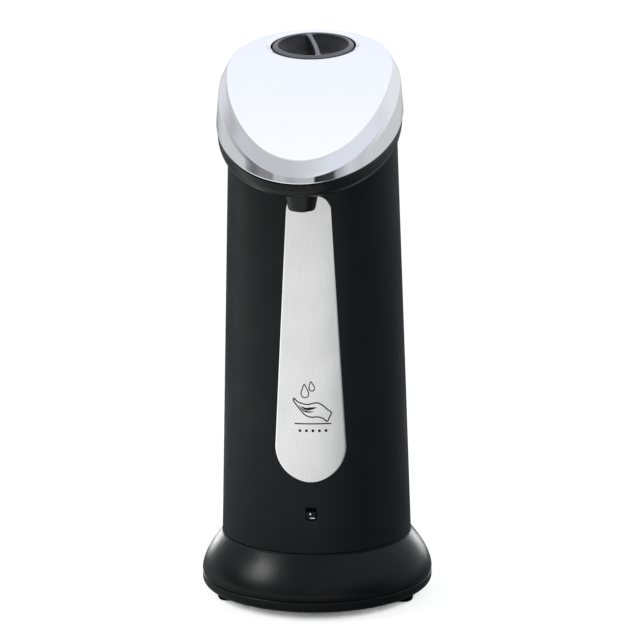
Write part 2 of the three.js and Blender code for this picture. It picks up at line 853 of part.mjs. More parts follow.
// Brushed plate on the front of the sleeve
function plateOutline() {
  const shape = new THREE.Shape();
  const roundHeight = plateBottom + plateBottomRadius;
  shape.moveTo(plateBottomRadius, roundHeight);
  shape.lineTo(plateTopHalfWidth, plateTop - plateTopRound);
  shape.quadraticCurveTo(
    plateTopHalfWidth, plateTop, plateTopHalfWidth - plateTopRound, plateTop,
  );
  shape.lineTo(plateTopRound - plateTopHalfWidth, plateTop);
  shape.quadraticCurveTo(
    -plateTopHalfWidth, plateTop, -plateTopHalfWidth, plateTop - plateTopRound,
  );
  shape.lineTo(-plateBottomRadius, roundHeight);
  shape.absarc(0, roundHeight, plateBottomRadius, Math.PI, Math.PI * 2, false);
  shape.closePath();
  return shape;
}

const plateJacketProfile = [
  [bodyFootRadius + pushFitGap + plateThickness, bodySeamHeight],
  [bodyTopRadius + pushFitGap + plateThickness, bodyTopHeight],
  [bodyTopRadius + pushFitGap, bodyTopHeight],
  [bodyFootRadius + pushFitGap, bodySeamHeight],
];
const plateCutter = runBack(plateOutline(), bodyFootRadius + overrun, bodyFootRadius, curveSteps * 2);
addPiece(
  'front_plate',
  toGeometry(toSolid(turned(plateJacketProfile, largeFacets)).intersect(toSolid(plateCutter))),
  brushed,
);

// Sensor window: a dark lens in the slot, stepped back in its upper part, with a flange behind
const flangeFrontReach = windowInsideReach - seatGap;
const lensFrontReach = windowFrontReach + windowStandOut;
const lens = toSolid(
  runBack(windowOutline(-slideGap / 2), lensFrontReach, lensFrontReach - flangeFrontReach + faceGap),
);
const recessHeight = windowHeight * windowRecessShare;
const recessCut = block(
  windowWidth, windowRecess + windowStandOut + overrun, recessHeight + overrun,
  0, -windowFrontReach + windowRecess - (windowRecess + windowStandOut + overrun) / 2,
  windowTop - recessHeight,
);
const flangeReach = Math.sqrt(
  flangeFrontReach ** 2 - (windowWidth / 2 + windowFlangeBorder) ** 2,
);
const flange = block(
  windowWidth + windowFlangeBorder * 2, windowFlangeThickness, windowHeight + windowFlangeBorder * 2,
  0, -flangeReach + windowFlangeThickness / 2, windowBottom - windowFlangeBorder,
);
const lensStem = runBack(
  windowOutline(-slideGap / 2), flangeFrontReach + pushFitGap,
  flangeFrontReach - flangeReach + pushFitGap * 2,
);
addPiece(
  'sensor_window',
  toGeometry(lens.subtract(toSolid(recessCut)).add(toSolid(lensStem)).add(toSolid(flange))),
  lensDark,
);

// Light emitter and receiver on their board behind the window
const ledFrontReach = flangeReach - windowFlangeThickness - seatGap;
const sensorBoardReach = ledFrontReach - ledLength - faceGap;
for (const [name, side] of [['receiver_led', -1], ['emitter_led', 1]]) {
  const led = turned(
    [
      [0, 0],
      [ledRadius, 0],
      [ledRadius, ledLength - ledRadius / 2],
      [ledRadius / 2, ledLength],
      [0, ledLength],
    ],
    smallFacets,
  ).rotateX(Math.PI / 2);
  led.translate(0, -sensorBoardReach - faceGap, windowMiddle + (side * ledPitch) / 2);
  addPiece(name, led, lensDark);
}
const sensorBoardHeight = windowHeight + sensorBoardBorder * 2;
addPiece(
  'sensor_board',
  block(
    sensorBoardWidth, boardThickness, sensorBoardHeight,
    0, -sensorBoardReach + boardThickness / 2, windowMiddle - sensorBoardHeight / 2,
  ),
  boardGreen,
);

// Deck over the battery tray, with the motor standing on it
const deckBottom = trayTop + faceGap;
const deckTop = deckBottom + deckThickness;
const deckRadius = collarRadius - skirtCollarWall - deckGap;
addPiece(
  'drive_deck',
  toGeometry(
    drillLeadHoles(
      toSolid(disc(deckRadius, deckBottom, deckTop, largeFacets)),
      deckBottom - overrun, deckTop + overrun,
    ),
  ),
  blackCase,
);

const rotorPitchRadius = (rotorTeeth * rotorModule) / 2;
const driveAcross = -(rotorPitchRadius + rotorMeshGap / 2);
const idlerAcross = -driveAcross;
const rotorTipRadius = rotorPitchRadius + rotorModule * addendumShare;
const chamberRadius = rotorTipRadius + rotorGap;
const pumpHalfWidth = idlerAcross + chamberRadius + pumpWall;
const pumpHalfDepth = chamberRadius + pumpWall;
const gearDistance = ((pinionTeeth + driveGearTeeth) * gearModule) / 2 + gearMeshGap;
const motorAcross = driveAcross + gearDistance * Math.cos(drivenSide);
const motorSetback = pumpSetback + gearDistance * Math.sin(drivenSide);
const motorBottom = deckTop + faceGap;
const motorTop = motorBottom + motorHeight;
const motorBody = toSolid(disc(motorRadius, motorBottom, motorTop, middleFacets))
  .add(toSolid(disc(motorBossRadius, motorTop - overrun, motorTop + motorBossHeight, smallFacets)))
  .subtract(
    toSolid(
      disc(motorShaftRadius + shaftGap, motorTop - overrun, motorTop + overrun, smallFacets),
    ),
  );
const motorScrewDepth = screwLength - bracketThickness;
const motorScrewPlaces = [1, -1].map((side) => ({
  across: motorAcross + side * motorScrewCircleRadius * Math.cos(drivenSide - Math.PI / 2),
  setback: motorSetback + side * motorScrewCircleRadius * Math.sin(drivenSide - Math.PI / 2),
}));
let motorCan = motorBody.translate(motorAcross, motorSetback, 0);
for (const place of motorScrewPlaces) {
  const hole = disc(
    screwHoleRadius, motorTop - motorScrewDepth - seatGap, motorTop + overrun, smallFacets,
    place.across, place.setback,
  );
  motorCan = motorCan.subtract(toSolid(hole));
}
addPiece('motor_can', toGeometry(motorCan), steel);

// Bracket over the motor, on three posts that also carry the tank
const bracketBottom = motorTop + faceGap;
const bracketTop = bracketBottom + bracketThickness;
const gearBottom = bracketTop + gearRise;
const gearTop = gearBottom + gearThickness;
const pumpBottom = bracketTop + pumpStandOff;
const pumpFloorTop = pumpBottom + pumpFloor;
const rotorBottom = pumpFloorTop + rotorGap;
const rotorTop = rotorBottom + rotorThickness;
const pumpBodyTop = rotorTop + rotorGap;
const pumpCoverBottom = pumpBodyTop + faceGap;
const pumpCoverTop = pumpCoverBottom + pumpCoverThickness;
const tankBottom = pumpCoverTop + tankClearOfPump;
const postAcross = pumpHalfWidth + pumpLegReach + postRadius + slideGap;
const postPlaces = [
  { across: -postAcross, setback: postFrontSetback },
  { across: postAcross, setback: postFrontSetback },
  { across: postRearAcross, setback: postRearSetback },
];
const bracketOutline = flattedCircle(bracketRadius, bracketFlatSetback);
let bracket = toSolid(raised(bracketOutline, bracketBottom, bracketTop, smallFacets));
for (const place of postPlaces) {
  const post = disc(
    postRadius, deckTop + faceGap, tankBottom - faceGap, smallFacets, place.across, place.setback,
  );
  bracket = bracket.add(toSolid(post));
}
const bracketHoles = [
  { radius: motorBossRadius + slideGap, across: motorAcross, setback: motorSetback },
  { radius: shaftRadius + shaftGap, across: driveAcross, setback: pumpSetback },
  ...motorScrewPlaces.map((place) => ({ radius: screwHoleRadius, ...place })),
];
for (const hole of bracketHoles) {
  const drill = disc(
    hole.radius, bracketBottom - overrun, bracketTop + overrun, smallFacets, hole.across, hole.setback,
  );
  bracket = bracket.subtract(toSolid(drill));
}
addPiece('gear_bracket', toGeometry(bracket), whitePlastic);
motorScrewPlaces.forEach((place, number) => {
  const screw = addPiece(`motor_screw_${number + 1}`, screwGeometry(screwLength), steel);
  screw.position.set(place.across, place.setback, bracketTop + faceGap);
});

// Pinion on the motor shaft and the large gear on the pump's drive shaft
const pinionGear = toSolid(raised(gearShape(pinionTeeth, gearModule, 0), gearBottom, gearTop))
  .rotate(0, 0, THREE.MathUtils.radToDeg(drivenSide + Math.PI + Math.PI / pinionTeeth));
const pinionShaft = toSolid(
  disc(motorShaftRadius, motorTop - overrun + seatGap, gearTop, smallFacets),
);
addPiece(
  'motor_pinion',
  toGeometry(pinionGear.add(pinionShaft).translate(motorAcross, motorSetback, 0)),
  brass,
);
const driveGear = toSolid(raised(gearShape(driveGearTeeth, gearModule, 0), gearBottom, gearTop))
  .rotate(0, 0, THREE.MathUtils.radToDeg(drivenSide));
const driveShaft = toSolid(disc(shaftRadius, bracketBottom, rotorTop, smallFacets));
addPiece(
  'drive_gear',
  toGeometry(driveGear.add(driveShaft).translate(driveAcross, pumpSetback, 0)),
  whitePlastic,
);

// Gear pump: floor, wall and ports in one body, two rotors, a pin and a screwed cover
const pumpOutline = roundedRectangle(
  pumpHalfWidth * 2, pumpHalfDepth * 2, pumpCornerRadius, 0, pumpSetback,
);
const legAcross = pumpHalfWidth + pumpLegReach - postRadius;
const legPlaces = [
  { across: legAcross, setback: pumpSetback - pumpHalfDepth + postRadius },
  { across: legAcross, setback: pumpSetback + pumpHalfDepth - postRadius },
  { across: -legAcross, setback: pumpSetback - pumpHalfDepth + postRadius },
];
const footprint = roundedRectangle(
  (pumpHalfWidth + pumpLegReach) * 2, pumpHalfDepth * 2, pumpCornerRadius, 0, pumpSetback,
);
let pumpBody = toSolid(raised(pumpOutline, pumpBottom, pumpBodyTop))
  .add(toSolid(raised(footprint, pumpBottom, pumpFloorTop)));
for (const place of legPlaces) {
  const leg = disc(
    postRadius, bracketTop + faceGap, pumpBottom + faceGap, smallFacets, place.across, place.setback,
  );
  pumpBody = pumpBody.add(toSolid(leg));
}
for (const across of [driveAcross, idlerAcross]) {
  const chamber = disc(
    chamberRadius, pumpFloorTop, pumpBodyTop + overrun, middleFacets, across, pumpSetback,
  );
  pumpBody = pumpBody.subtract(toSolid(chamber));
}
const shaftHole = disc(
  shaftRadius + shaftGap, pumpBottom - overrun, pumpFloorTop + overrun, smallFacets,
  driveAcross, pumpSetback,
);
const pinHole = disc(
  shaftRadius + shaftGap, pumpFloorTop - pumpFloor / 2, pumpFloorTop + overrun, smallFacets,
  idlerAcross, pumpSetback,
);
const inletPort = disc(
  portRadius, pumpFloorTop, pumpBodyTop + overrun, smallFacets, 0, pumpSetback + portSetback,
);
const outletHeight = pumpFloorTop + outletRise;
const outletReach = pumpHalfDepth - pumpSetback;
const spigot = disc(barbRadius, 0, spigotLength + overrun, smallFacets)
  .rotateX(Math.PI / 2)
  .translate(0, -outletReach + overrun, outletHeight);
const outletBore = disc(nozzleBore, 0, spigotLength + pumpHalfDepth + overrun, smallFacets)
  .rotateX(Math.PI / 2)
  .translate(0, pumpSetback - portSetback / 2, outletHeight);
pumpBody = pumpBody
  .add(toSolid(spigot))
  .subtract(toSolid(shaftHole))
  .subtract(toSolid(pinHole))
  .subtract(toSolid(inletPort))
  .subtract(toSolid(outletBore));
const coverScrewInset = pumpCornerRadius;
const coverScrewPlaces = [];
for (const side of [-1, 1]) {
  for (const end of [-1, 1]) {
    coverScrewPlaces.push({
      across: side * (pumpHalfWidth - coverScrewInset),
      setback: pumpSetback + end * (pumpHalfDepth - coverScrewInset),
    });
  }
}
const coverScrewLength = screwLength - pumpCoverThickness;
const pumpCoverPlate = toSolid(raised(pumpOutline, pumpCoverBottom, pumpCoverTop));
const inletSpigot = disc(
  portRadius + portWall, pumpCoverTop - faceGap, pumpCoverTop + spigotLength, smallFacets,
  0, pumpSetback + portSetback,
);
const inletBore = disc(
  portRadius, pumpCoverBottom - overrun, pumpCoverTop + spigotLength + overrun, smallFacets,
  0, pumpSetback + portSetback,
);
let pumpCover = pumpCoverPlate.add(toSolid(inletSpigot)).subtract(toSolid(inletBore));
for (const place of coverScrewPlaces) {
  const bottom = pumpBodyTop - coverScrewLength - seatGap;
  const drill = toSolid(
    disc(screwHoleRadius, bottom, pumpCoverTop + overrun, smallFacets, place.across, place.setback),
  );
  pumpBody = pumpBody.subtract(drill);
  pumpCover = pumpCover.subtract(drill);
}
addPiece('pump_housing', toGeometry(pumpBody), whitePlastic);
addPiece('pump_cover', toGeometry(pumpCover), whitePlastic);
coverScrewPlaces.forEach((place, number) => {
  const screw = addPiece(`pump_screw_${number + 1}`, screwGeometry(screwLength), steel);
  screw.position.set(place.across, place.setback, pumpCoverTop + faceGap);
});
addPiece(
  'pump_idler_pin',
  disc(
    shaftRadius, pumpFloorTop - pumpFloor / 2 + faceGap, rotorTop, smallFacets,
    idlerAcross, pumpSetback,
  ),
  steel,
);
const rotorTurns = { pump_drive_rotor: 0, pump_idler_rotor: Math.PI + Math.PI / rotorTeeth };
for (const [name, across] of [['pump_drive_rotor', driveAcross], ['pump_idler_rotor', idlerAcross]]) {
  const shape = gearShape(rotorTeeth, rotorModule, shaftRadius + shaftGap);
  const rotor = addPiece(name, raised(shape, rotorBottom, rotorTop, smallFacets / 2), whitePlastic);
  rotor.position.set(across, pumpSetback, 0);
  rotor.rotation.z = rotorTurns[name];
}

// Tank on the posts, with a flat front that leaves room for the hose
const headCollarRadius = sleeveRadius(splitRearHeight) - bodyWall - seatGap;
const tankRadius = headCollarRadius - headCollarWall - tankRunningGap;
const drainSetback = pumpSetback + portSetback;

const tankTop = bodyTopHeight + tankRise;
const tankFlatSetback = tankRadius + tankRunningGap - hoseCollarGap - hoseRadius * 2 - hoseFlatGap;

function tankBlock(growth, bottom, top) {
  const outline = flattedCircle(tankRadius + growth, tankFlatSetback + growth);
  return toSolid(raised(outline, bottom, top, smallFacets));
}

const drainSpigot = disc(
  portRadius + portWall, tankBottom - spigotLength + faceGap, tankBottom + faceGap, smallFacets,
  0, drainSetback,
);
const drainBore = disc(
  portRadius, tankBottom - spigotLength - overrun, tankBottom + tankFloor + overrun, smallFacets,
  0, drainSetback,
);
addPiece(
  'soap_tank',
  toGeometry(
    tankBlock(0, tankBottom, tankTop)
      .subtract(tankBlock(-tankWall, tankBottom + tankFloor, tankTop + overrun))
      .add(toSolid(drainSpigot))
      .subtract(toSolid(drainBore)),
  ),
  frosted,
);
const sleeveTubeBore = portRadius + portWall + pushFitGap;
addPiece(
  'suction_tube',
  pipe(
    sleeveTubeBore + sleeveTubeWall, sleeveTubeBore,
    pumpCoverTop + seatGap, tankBottom - seatGap, smallFacets, 0, drainSetback,
  ),
  silicone,
);
const gasketBottom = tankTop + faceGap;
const gasketTop = gasketBottom + gasketThickness;
addPiece(
  'tank_gasket',
  toGeometry(
    tankBlock(0, gasketBottom, gasketTop)
      .subtract(tankBlock(-tankWall, gasketBottom - overrun, gasketTop + overrun)),
  ),
  silicone,
);

// Tilted axis of the filler opening: its group stands on the head's face, square to it
const neckBore = plugRadius + sealStandOut + slideGap;
const neckFootRadius = plugRadius - neckFootInset;
const capRadius = plugRadius + capOverhang;
const fillerRadius = capRadius + capGap;
const fillerSetback = tankRadius - neckBore - neckWall - neckClearOfTank;
const faceRun = faceFrontReach + faceRearReach;
const fillerShare = (fillerSetback + faceFrontReach) / faceRun;
const faceSlope = (faceRearHeight - faceFrontHeight
  + 4 * faceSagitta * (1 - 2 * fillerShare)) / faceRun;
const fillerTilt = Math.atan(faceSlope);
const fillerFrame = new THREE.Object3D();
fillerFrame.position.set(0, fillerSetback, faceHeight(fillerSetback));
fillerFrame.rotation.x = fillerTilt;
fillerFrame.updateMatrix();

function tilted(geometry) {
  return geometry.applyMatrix4(fillerFrame.matrix);
}

// Tank lid with the funnel-shaped neck
const lidBottom = gasketTop + faceGap;
const lidTop = lidBottom + lidThickness;
const capFlangeBottom = -capSunk - capFlangeHeight;
const neckTop = capFlangeBottom - seatGap;
const neckBottom = (lidBottom - faceHeight(fillerSetback)) / Math.cos(fillerTilt) - neckFootRadius;
const neckStraightBottom = neckTop - neckStraightDepth;
const funnelOutside = [
  [0, neckBottom],
  [neckFootRadius + neckWall, neckBottom],
  [neckFootRadius + neckWall, neckBottom + neckFootRadius],
  [neckBore + neckWall, neckStraightBottom],
  [neckBore + neckWall, neckTop],
  [0, neckTop],
];
const funnelInside = [
  [0, neckBottom - overrun],
  [neckFootRadius, neckBottom - overrun],
  [neckFootRadius, neckBottom + neckFootRadius],
  [neckBore, neckStraightBottom],
  [neckBore, neckTop + overrun],
  [0, neckTop + overrun],
];
const lidRim = tankBlock(-tankWall - seatGap, lidBottom - lidRimDepth, lidBottom + faceGap)
  .subtract(tankBlock(-tankWall * 2 - seatGap, lidBottom - lidRimDepth - overrun, lidBottom + overrun));
addPiece(
  'tank_lid',
  toGeometry(
    tankBlock(0, lidBottom, lidTop)
      .add(toSolid(tilted(turned(funnelOutside, middleFacets))).intersect(halfSpaceAbove(lidBottom)))
      .subtract(toSolid(tilted(turned(funnelInside, middleFacets))))
      .add(lidRim),
  ),
  frosted,
);

// Filler cap: a plug with its ring lifts along the axis, the dished top with the grip turns on it
const dishFloor = -capSunk - capDishDepth;
const dishRadius = capRadius - capRimWidth;
const capStemRadius = plugRadius - plugWall - slideGap;
const capProfile = [
  [0, dishFloor - capFloorThickness],
  [capStemRadius, dishFloor - capFloorThickness],
  [capStemRadius, capFlangeBottom],
  [capRadius, capFlangeBottom],
  [capRadius, -capSunk - capRimRound],
  [capRadius - capRimRound, -capSunk],
  [dishRadius, -capSunk],
  [dishRadius * capDishFloorShare, dishFloor],
  [0, dishFloor],
];
const gripShape = new THREE.Shape();
const gripHalfLength = dishRadius + capRimWidth / 2;
gripShape.moveTo(-gripWidth / 2, 0);
gripShape.quadraticCurveTo(-gripWidth / 2, gripHalfLength / 2, -gripWidth / 2 - gripFlare, gripHalfLength);
gripShape.lineTo(gripWidth / 2 + gripFlare, gripHalfLength);
gripShape.quadraticCurveTo(gripWidth / 2, gripHalfLength / 2, gripWidth / 2, 0);
gripShape.quadraticCurveTo(gripWidth / 2, -gripHalfLength / 2, gripWidth / 2 + gripFlare, -gripHalfLength);
gripShape.lineTo(-gripWidth / 2 - gripFlare, -gripHalfLength);
gripShape.quadraticCurveTo(-gripWidth / 2, -gripHalfLength / 2, -gripWidth / 2, 0);
const gripBar = raised(gripShape, dishFloor - capFloorThickness / 2, -capSunk - gripSunk)
  .rotateZ(gripTurn);
const capFilled = toSolid(
  turned(
    [
      [0, dishFloor - capFloorThickness],
      [capStemRadius, dishFloor - capFloorThickness],
      [capStemRadius, capFlangeBottom],
      [gripHalfLength, capFlangeBottom],
      [gripHalfLength, -capSunk],
      [0, -capSunk],
    ],
    middleFacets,
  ),
);
const fillerCap = toSolid(turned(capProfile, middleFacets)).add(toSolid(gripBar).intersect(capFilled));
addPiece('filler_cap', tilted(toGeometry(fillerCap)), blackGloss);

const plugTop = capFlangeBottom - seatGap;
const plugBottom = Math.min(plugTop - plugDepth, dishFloor - capFloorThickness - seatGap - plugFloor);
const sealMiddle = (plugTop + plugBottom) / 2;
const plugProfile = [
  [0, plugBottom],
  [plugRadius, plugBottom],
  [plugRadius, sealMiddle - sealThickness / 2 - faceGap],
  [plugRadius - plugGrooveDepth, sealMiddle - sealThickness / 2 - faceGap],
  [plugRadius - plugGrooveDepth, sealMiddle + sealThickness / 2 + faceGap],
  [plugRadius, sealMiddle + sealThickness / 2 + faceGap],
  [plugRadius, plugTop],
  [plugRadius - plugWall, plugTop],
  [plugRadius - plugWall, plugBottom + plugFloor],
  [0, plugBottom + plugFloor],
];
addPiece('cap_plug', tilted(turned(plugProfile, middleFacets)), blackGloss);
const sealInside = plugRadius - plugGrooveDepth + pushFitGap;
const sealOutside = plugRadius + sealStandOut;
const sealRound = sealThickness * sealRoundShare;
const sealProfile = [
  [sealInside, sealMiddle - sealThickness / 2],
  [sealOutside - sealRound, sealMiddle - sealThickness / 2],
  [sealOutside, sealMiddle - sealRound],
  [sealOutside, sealMiddle + sealRound],
  [sealOutside - sealRound, sealMiddle + sealThickness / 2],
  [sealInside, sealMiddle + sealThickness / 2],
];
addPiece('cap_seal', tilted(turned(sealProfile, middleFacets)), silicone);

// Head cover: side band, bevel and the slightly arched face, hollow, with a lip and the opening
function splitRing(inset, rise) {
  return headRing(
    headHalfWidth - inset, headRearReach - inset, headFrontReach - inset,
    (setback) => splitHeight(setback) + rise,
  );
}

const coverOutside = loft([
  splitRing(0, 0),
  headRing(
    headHalfWidth - ridgeInset, headRearReach - ridgeInset, headFrontReach - ridgeInset / 2, ridgeHeight,
  ),
  headRing(headHalfWidth - faceSideInset, faceRearReach, faceFrontReach, faceHeight),
]);
const coverInside = loft([
  splitRing(coverWall, -overrun),
  splitRing(coverWall, 0),
  headRing(
    headHalfWidth - faceSideInset - coverWall / 2, faceRearReach - coverWall, faceFrontReach - coverWall,
    (setback) => faceHeight(setback) - coverWall,
  ),
]);
const lipInset = lowerShellInset + lowerShellWall + seatGap;
const coverLipOutside = loft([
  splitRing(lipInset, -coverLipDepth),
  splitRing(lipInset, coverLipDepth / 2),
]);
const coverLip = toSolid(coverLipOutside)
  .subtract(
    toSolid(
      loft([
        splitRing(lipInset + coverLipThickness, -coverLipDepth - overrun),
        splitRing(lipInset + coverLipThickness, coverLipDepth / 2 + overrun),
      ]),
    ),
  );
const openingCollar = toSolid(
  tilted(disc(fillerRadius + fillerCollarWall, -fillerCollarDepth, -coverWall / 2, middleFacets)),
);
const openingCut = toSolid(
  tilted(disc(fillerRadius, neckStraightBottom - overrun * 2, overrun * 2, largeFacets)),
);
const coverHull = toSolid(coverOutside);
addPiece(
  'head_cover',
  toGeometry(
    coverHull
      .subtract(toSolid(coverInside))
      .add(coverLip)
      .add(openingCollar.intersect(coverHull))
      .subtract(openingCut),
  ),
  chrome,
);

// Lower shell of the head: the black band, the chin over the hand and the collar in the sleeve
function chinHeight(setback) {
  return splitHeight(setback) - bandHeight - chinDrop;
}

const chinRing = headRing(
  headHalfWidth - lowerShellInset - chinSideInset, headRearReach - lowerShellInset,
  headFrontReach - lowerShellInset - chinFrontInset, chinHeight,
);
const chinInside = headRing(
  headHalfWidth - lowerShellInset - chinSideInset - lowerShellWall,
  headRearReach - lowerShellInset - lowerShellWall,
  headFrontReach - lowerShellInset - chinFrontInset - lowerShellWall,
  (setback) => chinHeight(setback) + lowerShellWall,
);
const shellOutside = toSolid(
  loft([
    chinRing,
    splitRing(lowerShellInset, -bandHeight),
    splitRing(lowerShellInset, -seatGap),
  ]),
);
const shellInside = toSolid(
  loft([
    chinInside,
    splitRing(lowerShellInset + lowerShellWall, -bandHeight + lowerShellWall),
    splitRing(lowerShellInset + lowerShellWall, overrun),
  ]),
);
const bossTop = chinHeight(-nozzleReach) + lowerShellWall;
const bossRoundTrim = nozzleBossRound * (1 - Math.SQRT1_2);
const bossProfile = [
  [0, nozzleBossBottom],
  [nozzleBossRadius - nozzleBossRound, nozzleBossBottom],
  [nozzleBossRadius - bossRoundTrim, nozzleBossBottom + bossRoundTrim],
  [nozzleBossRadius, nozzleBossBottom + nozzleBossRound],
  [nozzleBossRadius, bossTop],
  [0, bossTop],
];
const nozzleBoss = toSolid(turned(bossProfile, middleFacets).translate(0, -nozzleReach, 0));
const nozzleHole = toSolid(
  disc(
    nozzleTipRadius + pushFitGap, nozzleBossBottom - overrun, bossTop + overrun, smallFacets,
    0, -nozzleReach,
  ),
);
const headCollarBottom = chinHeight(-bodyTopRadius) - headCollarHeight;
const collarBore = toSolid(
  disc(headCollarRadius - headCollarWall, headCollarBottom - overrun, splitRearHeight, headFacets),
);
const headCollar = toSolid(disc(headCollarRadius, headCollarBottom, splitRearHeight, headFacets))
  .intersect(belowHead(lowerShellWall - bandHeight - chinDrop));
addPiece(
  'head_lower_shell',
  toGeometry(
    shellOutside
      .add(nozzleBoss)
      .subtract(shellInside)
      .add(headCollar)
      .subtract(collarBore)
      .subtract(nozzleHole),
  ),
  blackCase,
);

// Nozzle tip with a barb for the hose
const tipBottom = nozzleBossBottom - nozzleTipStandOut;
const tipProfile = [
  [nozzleTipRadius, tipBottom],
  [nozzleTipRadius, nozzleTipTop],
  [barbRadius, nozzleTipTop],
  [barbRadius, nozzleTipTop + barbLength],
  [nozzleBore, nozzleTipTop + barbLength],
  [nozzleBore, tipBottom],
];
addPiece('nozzle_tip', turned(tipProfile, smallFacets).translate(0, -nozzleReach, 0), silicone);

// Delivery hose: from the pump's outlet up the front of the tank and over the chin to the nozzle
const hoseSetback = -(tankFlatSetback + hoseFlatGap + hoseRadius);
const hoseTurnHeight = chinHeight(hoseSetback) + lowerShellWall + hoseTurnRise;
const hoseFrontHeight = chinHeight(-nozzleReach) + lowerShellWall + hoseFrontRise;
const hoseRoute = roundedRoute(
  [
    new THREE.Vector3(0, -outletReach - seatGap, outletHeight),
    new THREE.Vector3(0, hoseSetback, outletHeight),
    new THREE.Vector3(0, hoseSetback, hoseTurnHeight),
    new THREE.Vector3(0, -nozzleReach, hoseFrontHeight),
    new THREE.Vector3(0, -nozzleReach, nozzleTipTop + seatGap),
  ],
  hoseBend,
);
addPiece('delivery_hose', tubeAlong(hoseRoute, hoseRadius, hoseBore, hoseSides, hoseSteps), silicone);

// Control board standing on the deck, with its chip and leads
const boardBottom = deckTop + faceGap;
const boardFront = -(controlBoardSetback + boardThickness);
addPiece(
  'control_board',
  block(
    controlBoardWidth, boardThickness, controlBoardHeight,
    0, -(controlBoardSetback + boardThickness / 2), boardBottom,
  ),
  boardGreen,
);
addPiece(
  'control_chip',
  block(
    chipSize, chipThickness, chipSize,
    -controlBoardWidth / 4, boardFront - faceGap - chipThickness / 2, boardBottom + controlBoardHeight / 2,
  ),
  blackGloss,
);
const ribbonFront = -sensorBoardReach + boardThickness + faceGap;
addPiece(
  'sensor_ribbon',
  block(
    ribbonWidth, boardFront - faceGap - ribbonFront, ribbonThickness,
    0, (boardFront - faceGap + ribbonFront) / 2, windowMiddle,
  ),
  whitePlastic,
);
for (const [name, side, material] of [['black', -1, blackLead], ['red', 1, redLead]]) {
  const across = side * leadAcross;
  const start = new THREE.Vector3(across, leadSetback, cellHeight + contactHeight / 2 + faceGap);
  const corner = new THREE.Vector3(across, leadSetback, boardBottom + leadRise);
  const end = new THREE.Vector3(across, boardFront - seatGap, boardBottom + leadRise);
  const route = roundedRoute([start, corner, end], leadBend);
  addPiece(`battery_lead_${name}`, tubeAlong(route, leadRadius, 0, leadSides, leadSteps), material);
  const motorEnd = motorSetback - Math.sqrt(motorRadius ** 2 - motorLeadOffset ** 2) - seatGap;
  const motorRoute = new THREE.LineCurve3(
    new THREE.Vector3(
      motorAcross + side * motorLeadOffset, -controlBoardSetback + seatGap, boardBottom + motorLeadRise,
    ),
    new THREE.Vector3(
      motorAcross + side * motorLeadOffset, motorEnd, boardBottom + motorLeadRise,
    ),
  );
  addPiece(`motor_lead_${name}`, tubeAlong(motorRoute, leadRadius, 0, leadSides, 1), material);
}

export default dispenser;
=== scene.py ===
"""Automatic soap dispenser: its visible shells, plate, cap and finishes, in metres, +Z up."""

import json
import math

import bmesh
import bpy
from mathutils import Matrix, Vector

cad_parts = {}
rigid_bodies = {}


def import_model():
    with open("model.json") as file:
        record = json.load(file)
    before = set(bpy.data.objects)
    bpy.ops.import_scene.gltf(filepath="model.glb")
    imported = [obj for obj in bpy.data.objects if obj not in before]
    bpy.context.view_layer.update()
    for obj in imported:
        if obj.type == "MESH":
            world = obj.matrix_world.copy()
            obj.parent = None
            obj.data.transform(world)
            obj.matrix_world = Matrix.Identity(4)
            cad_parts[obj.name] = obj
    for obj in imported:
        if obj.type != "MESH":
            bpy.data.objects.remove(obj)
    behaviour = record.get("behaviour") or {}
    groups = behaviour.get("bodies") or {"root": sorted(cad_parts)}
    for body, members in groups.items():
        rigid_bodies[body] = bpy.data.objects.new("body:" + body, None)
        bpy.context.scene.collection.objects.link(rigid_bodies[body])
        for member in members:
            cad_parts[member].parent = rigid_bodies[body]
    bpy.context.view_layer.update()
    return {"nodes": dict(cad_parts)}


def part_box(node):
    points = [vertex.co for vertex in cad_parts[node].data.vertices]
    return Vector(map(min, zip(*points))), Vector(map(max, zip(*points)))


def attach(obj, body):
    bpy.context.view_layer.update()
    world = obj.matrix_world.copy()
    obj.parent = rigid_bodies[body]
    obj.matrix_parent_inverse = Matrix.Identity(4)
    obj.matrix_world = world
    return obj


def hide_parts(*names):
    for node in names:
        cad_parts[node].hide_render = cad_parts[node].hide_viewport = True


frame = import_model()

bl_info = {
    "name": "Automatic soap dispenser",
    "version": (1, 0, 0),
    "blender": (4, 5, 0),
    "location": "View3D > Sidebar > Dispenser",
    "description": "Builds the shells, plate, cap and finishes of a soap dispenser",
    "category": "Add Mesh",
}

MM = 0.001
MAIN_BODY = "dispenser"

# How finely round pieces are turned and corners rounded
SEGMENTS = 128
COLUMNS = 160
CAP_SEGMENTS = 96
PLUG_SEGMENTS = 80
BOSS_SEGMENTS = 64
BORE_SEGMENTS = 48
MIDDLE_SEGMENTS = 40
SMALL_SEGMENTS = 32
CURVE_STEPS = 5
COARSE_STEPS = 3

# A rounded corner takes at most this share of a side, and its support points lie a little past it
SIDE_SHARE = 0.35
SUPPORT_SHARE = 1.3

SHARP_ANGLE = math.radians(32)
BEVEL_ANGLE = math.radians(40)
MERGE = 1e-7

BASE_LOW, BASE_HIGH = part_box("base_plate")
SLEEVE_LOW, SLEEVE_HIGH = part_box("body_sleeve")
COVER_LOW, COVER_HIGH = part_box("head_cover")
PLATE_LOW, PLATE_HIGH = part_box("front_plate")
AXIS_Y = (BASE_LOW.y + BASE_HIGH.y) / 2

# Heights over the standing face
SEAM_HEIGHT = SLEEVE_LOW.z
BEND_HEIGHT = 148 * MM
BODY_TAPER = 3.85 * MM / (BEND_HEIGHT - SEAM_HEIGHT)
SLEEVE_REACH = 182 * MM

# The front plate lies just off the sleeve
PLATE_LIFT = 0.1 * MM
PLATE_THICKNESS = 0.6 * MM

